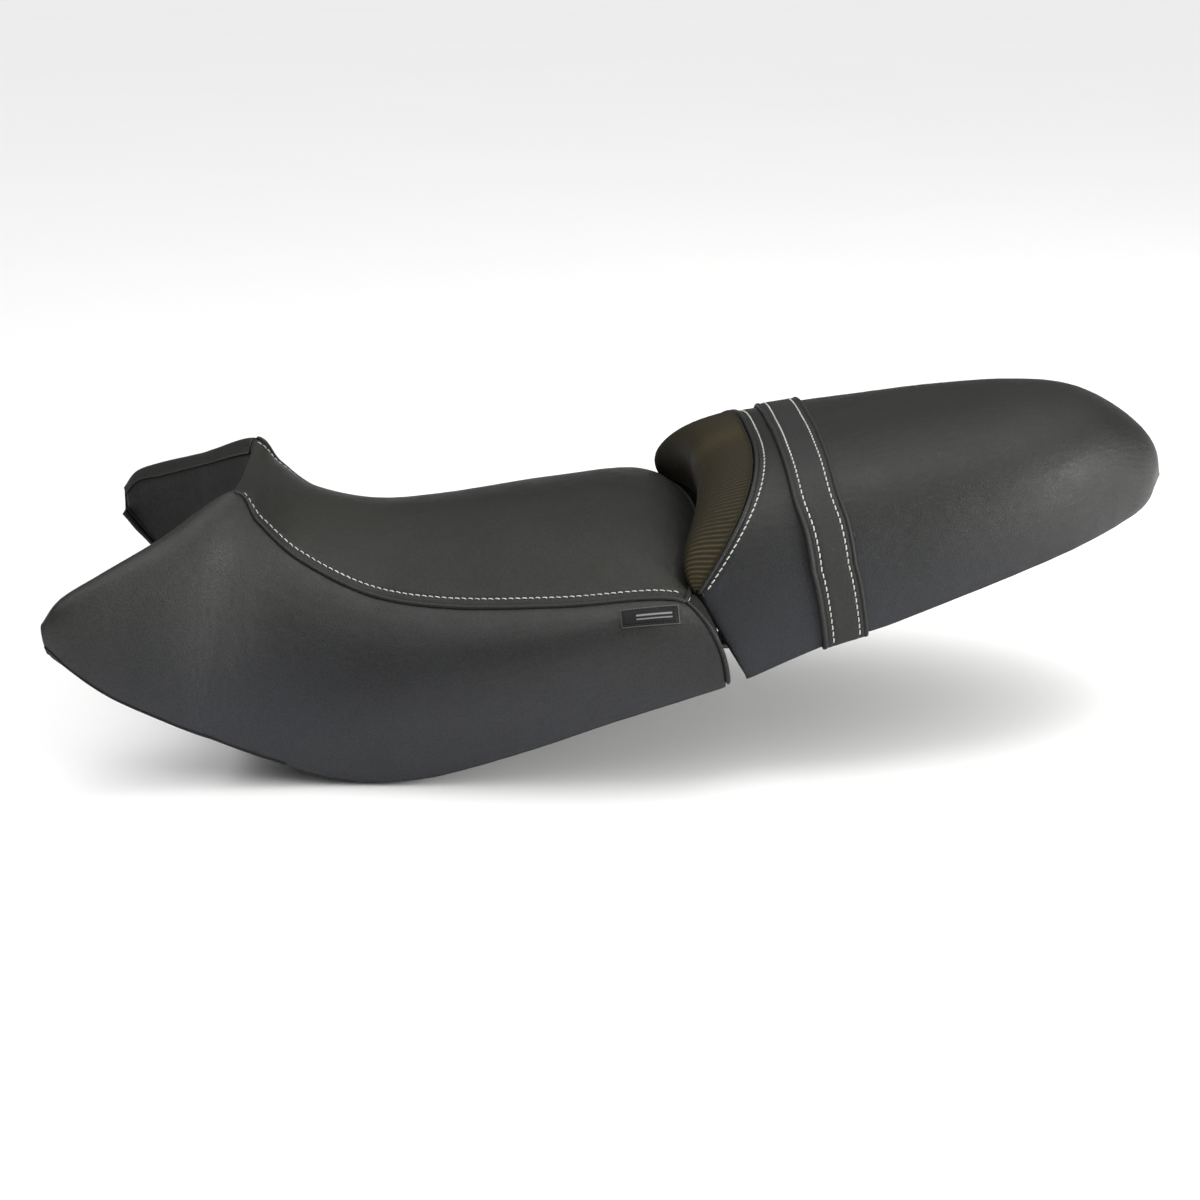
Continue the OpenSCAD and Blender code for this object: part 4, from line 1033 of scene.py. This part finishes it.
def passenger_insert():
    """The ribbed anti-slip insert, with its ribs in the mesh."""
    tip = TIP_V * 0.985
    a, b = np.linspace(-tip, tip, 1300), ease_grid(60, 0.02, 0.99, 0.4)
    ca, cb = np.linspace(-tip, tip, 96), np.linspace(0.02, 0.99, 20)
    field = settle(ramp, ca, cb, -1, keep=1.5, push=0.9, seed=8)
    base = ramp(a[:, None], b[None, :])
    # smoothed where its two halves meet
    window = np.hanning(71)[1:-1]
    window /= window.sum()
    wide = np.pad(base, ((34, 34), (0, 0), (0, 0)), "edge")
    soft = sum(wide[i:i + len(a)] * window[i] for i in range(len(window)))
    near = bell(base[:, 0, 1], 0, 14)[:, None, None]
    base = (1 - near) * base + near * soft
    n = normals(base, -1)
    (a0, a1), (b0, b1) = run(base, 0), run(base, 1)
    length = length_along(base[:, len(b) // 2])
    phase = 2 * np.pi * (length - length[-1] / 2) / RIB_PITCH
    rib = (0.5 + 0.5 * np.cos(phase))[:, None] ** 0.8 * np.clip(np.minimum(b0, b1) / 4, 0, 1)
    near = np.minimum(np.minimum(a0, a1), np.minimum(b0, b1))
    relief = RIB_HIGH * rib + seam_relief(b0, a0) + 0.4 * waves(base, 60, 61) * np.clip(near / 25, 0, 1)
    grid = base + n * relief[..., None] + lift(field, ca, cb, a, b)
    # painted shade along the insert's edges where they roll into the seam
    dark = np.exp(-near / 2.5)
    faces = quads(len(a), len(b), flip=True)
    obj = make("passenger_ribbed_insert", grid.reshape(-1, 3), faces, "ribbed_grip", PASSENGER,
               ["passenger_insert"], [("rib", np.clip(rib, 0, 1)), ("seam", dark)], INSERT_T)


def passenger_front():
    u, w = ease_grid(200, -0.99, 0.99, 0.5), ease_grid(60, 0.01, 1.0, 0.5)
    panel("passenger_front_panel", apron, u, w, 1, "vinyl_dark", PASSENGER, ["passenger_front_cover"],
          {"b0": PLAIN, "a0": PLAIN, "a1": PLAIN}, None, (), 71)


# -------------------- grab strap
def grab_strap():
    half = 17.0
    v = np.linspace(-1, 1, 330)
    w = np.concatenate([np.linspace(-half, -half + 3.4, 9), np.linspace(-half + 4, half - 4, 34),
                        np.linspace(half - 3.4, half, 9)])
    base = band(v[:, None], w[None, :])
    n = normals(base, -1)
    n *= np.where((n * (base - [60, 0, 90])).sum(-1, keepdims=True) < 0, -1, 1)
    length = length_along(base[:, len(w) // 2])[:, None]
    edge = half - np.abs(w)[None, :]
    welt = np.sqrt(np.clip(1 - ((edge - 1.7) / 1.7) ** 2, 0, 1)) * (edge < 3.4)
    welt = 0.9 + 1.9 * welt
    high = np.where(edge < 1.7, welt, np.maximum(STRAP_T - 0.5 * bell(edge, 3.6, 0.8), welt))
    for x in (-half + STRAP_SEAM, half - STRAP_SEAM):
        high = high + stitch_relief(w[None, :] - x, length) * 0.7
    high = high + 0.12 * waves(base, 30, 81)
    outer = base + n * (STRAP_GAP + high)[..., None]
    lower = base + n * (STRAP_GAP + 0.05)

    def tail(grid, i, way, level):
        """Rows that carry the strap round the edge and in under the pan."""
        e = grid[i]
        side_w = -np.sign(base[i, :, 1:2])
        rows = []
        for a, z in TAIL_FOLD:
            step = np.concatenate([0 * side_w, side_w * a, 0 * side_w + z * level], 1)
            rows.append(e + step)
        rows = np.stack(rows)
        return rows if way > 0 else rows[::-1]

    outer = np.concatenate([tail(outer, 0, -1, 3.0), outer, tail(outer, -1, 1, 3.0)])
    lower = np.concatenate([tail(lower, 0, -1, 0.6), lower, tail(lower, -1, 1, 0.6)])
    ring = np.concatenate([outer, lower[:, ::-1]], 1)
    rows, cols = ring.shape[:2]
    faces = quads(rows, cols, ring=True, flip=True).tolist()
    m = outer.shape[1]
    for i, flip in ((0, False), (rows - 1, True)):
        for j in range(m - 1):
            q = [i * cols + j, i * cols + j + 1, i * cols + cols - 2 - j, i * cols + cols - 1 - j]
            faces.append(q[::-1] if flip else q)
    # painted shadow lines in the grooves just inside the welted edges
    dark = np.clip(np.exp(-((edge - 3.9) / 0.8) ** 2), 0, 1) * np.ones((rows, 1))
    seam = np.concatenate([dark, 0 * dark], 1)
    obj = make("grab_strap", ring.reshape(-1, 3), faces, "strap_vinyl", None,
               ["strap_left_end", "strap_right_end", "strap_grip"], [("seam", seam)])
    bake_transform(obj)
    lines = []
    inner = outer[len(TAIL_FOLD):-len(TAIL_FOLD)]
    for x in (-half + STRAP_SEAM, half - STRAP_SEAM):
        j = int(np.argmin(np.abs(w - x)))
        lines.append((inner[:, j], n[:, j]))
    obj = stitches("grab_strap_topstitch", lines, "white_thread", None, ["strap_grip_stitching"])
    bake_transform(obj)


# -------------------- the other CAD nodes and the scene
FINISH = {
    "rider_base_pan": "pan_plastic", "passenger_base_pan": "pan_plastic",
    "rider_foam": "seat_foam", "passenger_foam": "seat_foam",
    "rider_front_tongue": "black_plate", "rider_rear_bracket": "black_plate",
    "passenger_rear_hooks": "plated_plate", "passenger_latch_plate": "plated_plate",
    "strap_anchor_plates": "plated_plate", "passenger_latch_pin": "pin_steel",
    "rider_tongue_screws": "screw_zinc", "rider_bracket_rivets": "screw_zinc",
    "strap_anchor_screws": "screw_zinc", "passenger_hook_screws": "screw_zinc",
    "passenger_latch_screws": "screw_zinc", "rider_bumpers": "rubber", "passenger_bumpers": "rubber",
    "rider_staples": "staple_wire", "passenger_staples": "staple_wire",
}
for name, finish in FINISH.items():
    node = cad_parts[name]
    node.data.materials.clear()
    node.data.materials.append(MATS[finish])
    bevel = node.modifiers.new("edge", "BEVEL")
    bevel.width, bevel.segments = EDGE_BEVEL, 2
    bevel.limit_method, bevel.angle_limit = "ANGLE", math.radians(40)

for build in (rider_top, rider_sides, rider_front, wing_linings, rider_rear, rider_pipings, rider_tag,
              passenger_shell, passenger_insert, passenger_front, grab_strap):
    build()

low, high = (Vector(v) for v in CAD_BOX)
middle = (low + high) / 2
floor_mesh = bpy.data.meshes.new("floor")
floor_corners = [(x * FLOOR_HALF, y * FLOOR_HALF, 0) for x, y in ((-1, -1), (1, -1), (1, 1), (-1, 1))]
floor_mesh.from_pydata(floor_corners, [], [(0, 1, 2, 3)])
floor = bpy.data.objects.new("floor", floor_mesh)
floor.location = (middle.x, middle.y, low.z - 0.001)
SCENE.collection.objects.link(floor)
pale = Mat("floor_paint")
pale.to("Base Color", pale.ramp(pale.noise(1.5), (0.3, (0.84, 0.84, 0.84)), (0.7, (0.85, 0.85, 0.85))))
pale.set(Roughness=0.9, Specular_IOR_Level=0.1)
floor_mesh.materials.append(pale.mat)

studio_sky()
soft_light("right", (1.9, -0.95, 0.66), (0.25, -0.05, 0.1), (1.1, 0.8), 56, (1, 1, 0.98))
soft_light("overhead", (0.05, -0.35, 1.9), (-0.05, -0.05, 0.05), (1.7, 0.7), 12, (1, 1, 0.98))
soft_light("left", (-1.5, -1.3, 1.3), (-0.3, 0, 0.05), (1.2, 0.9), 2.5, (0.97, 0.98, 1))
look_from((-0.1833, -1.3985, 0.5476), (-0.110, 0, 0.010), 56.7)
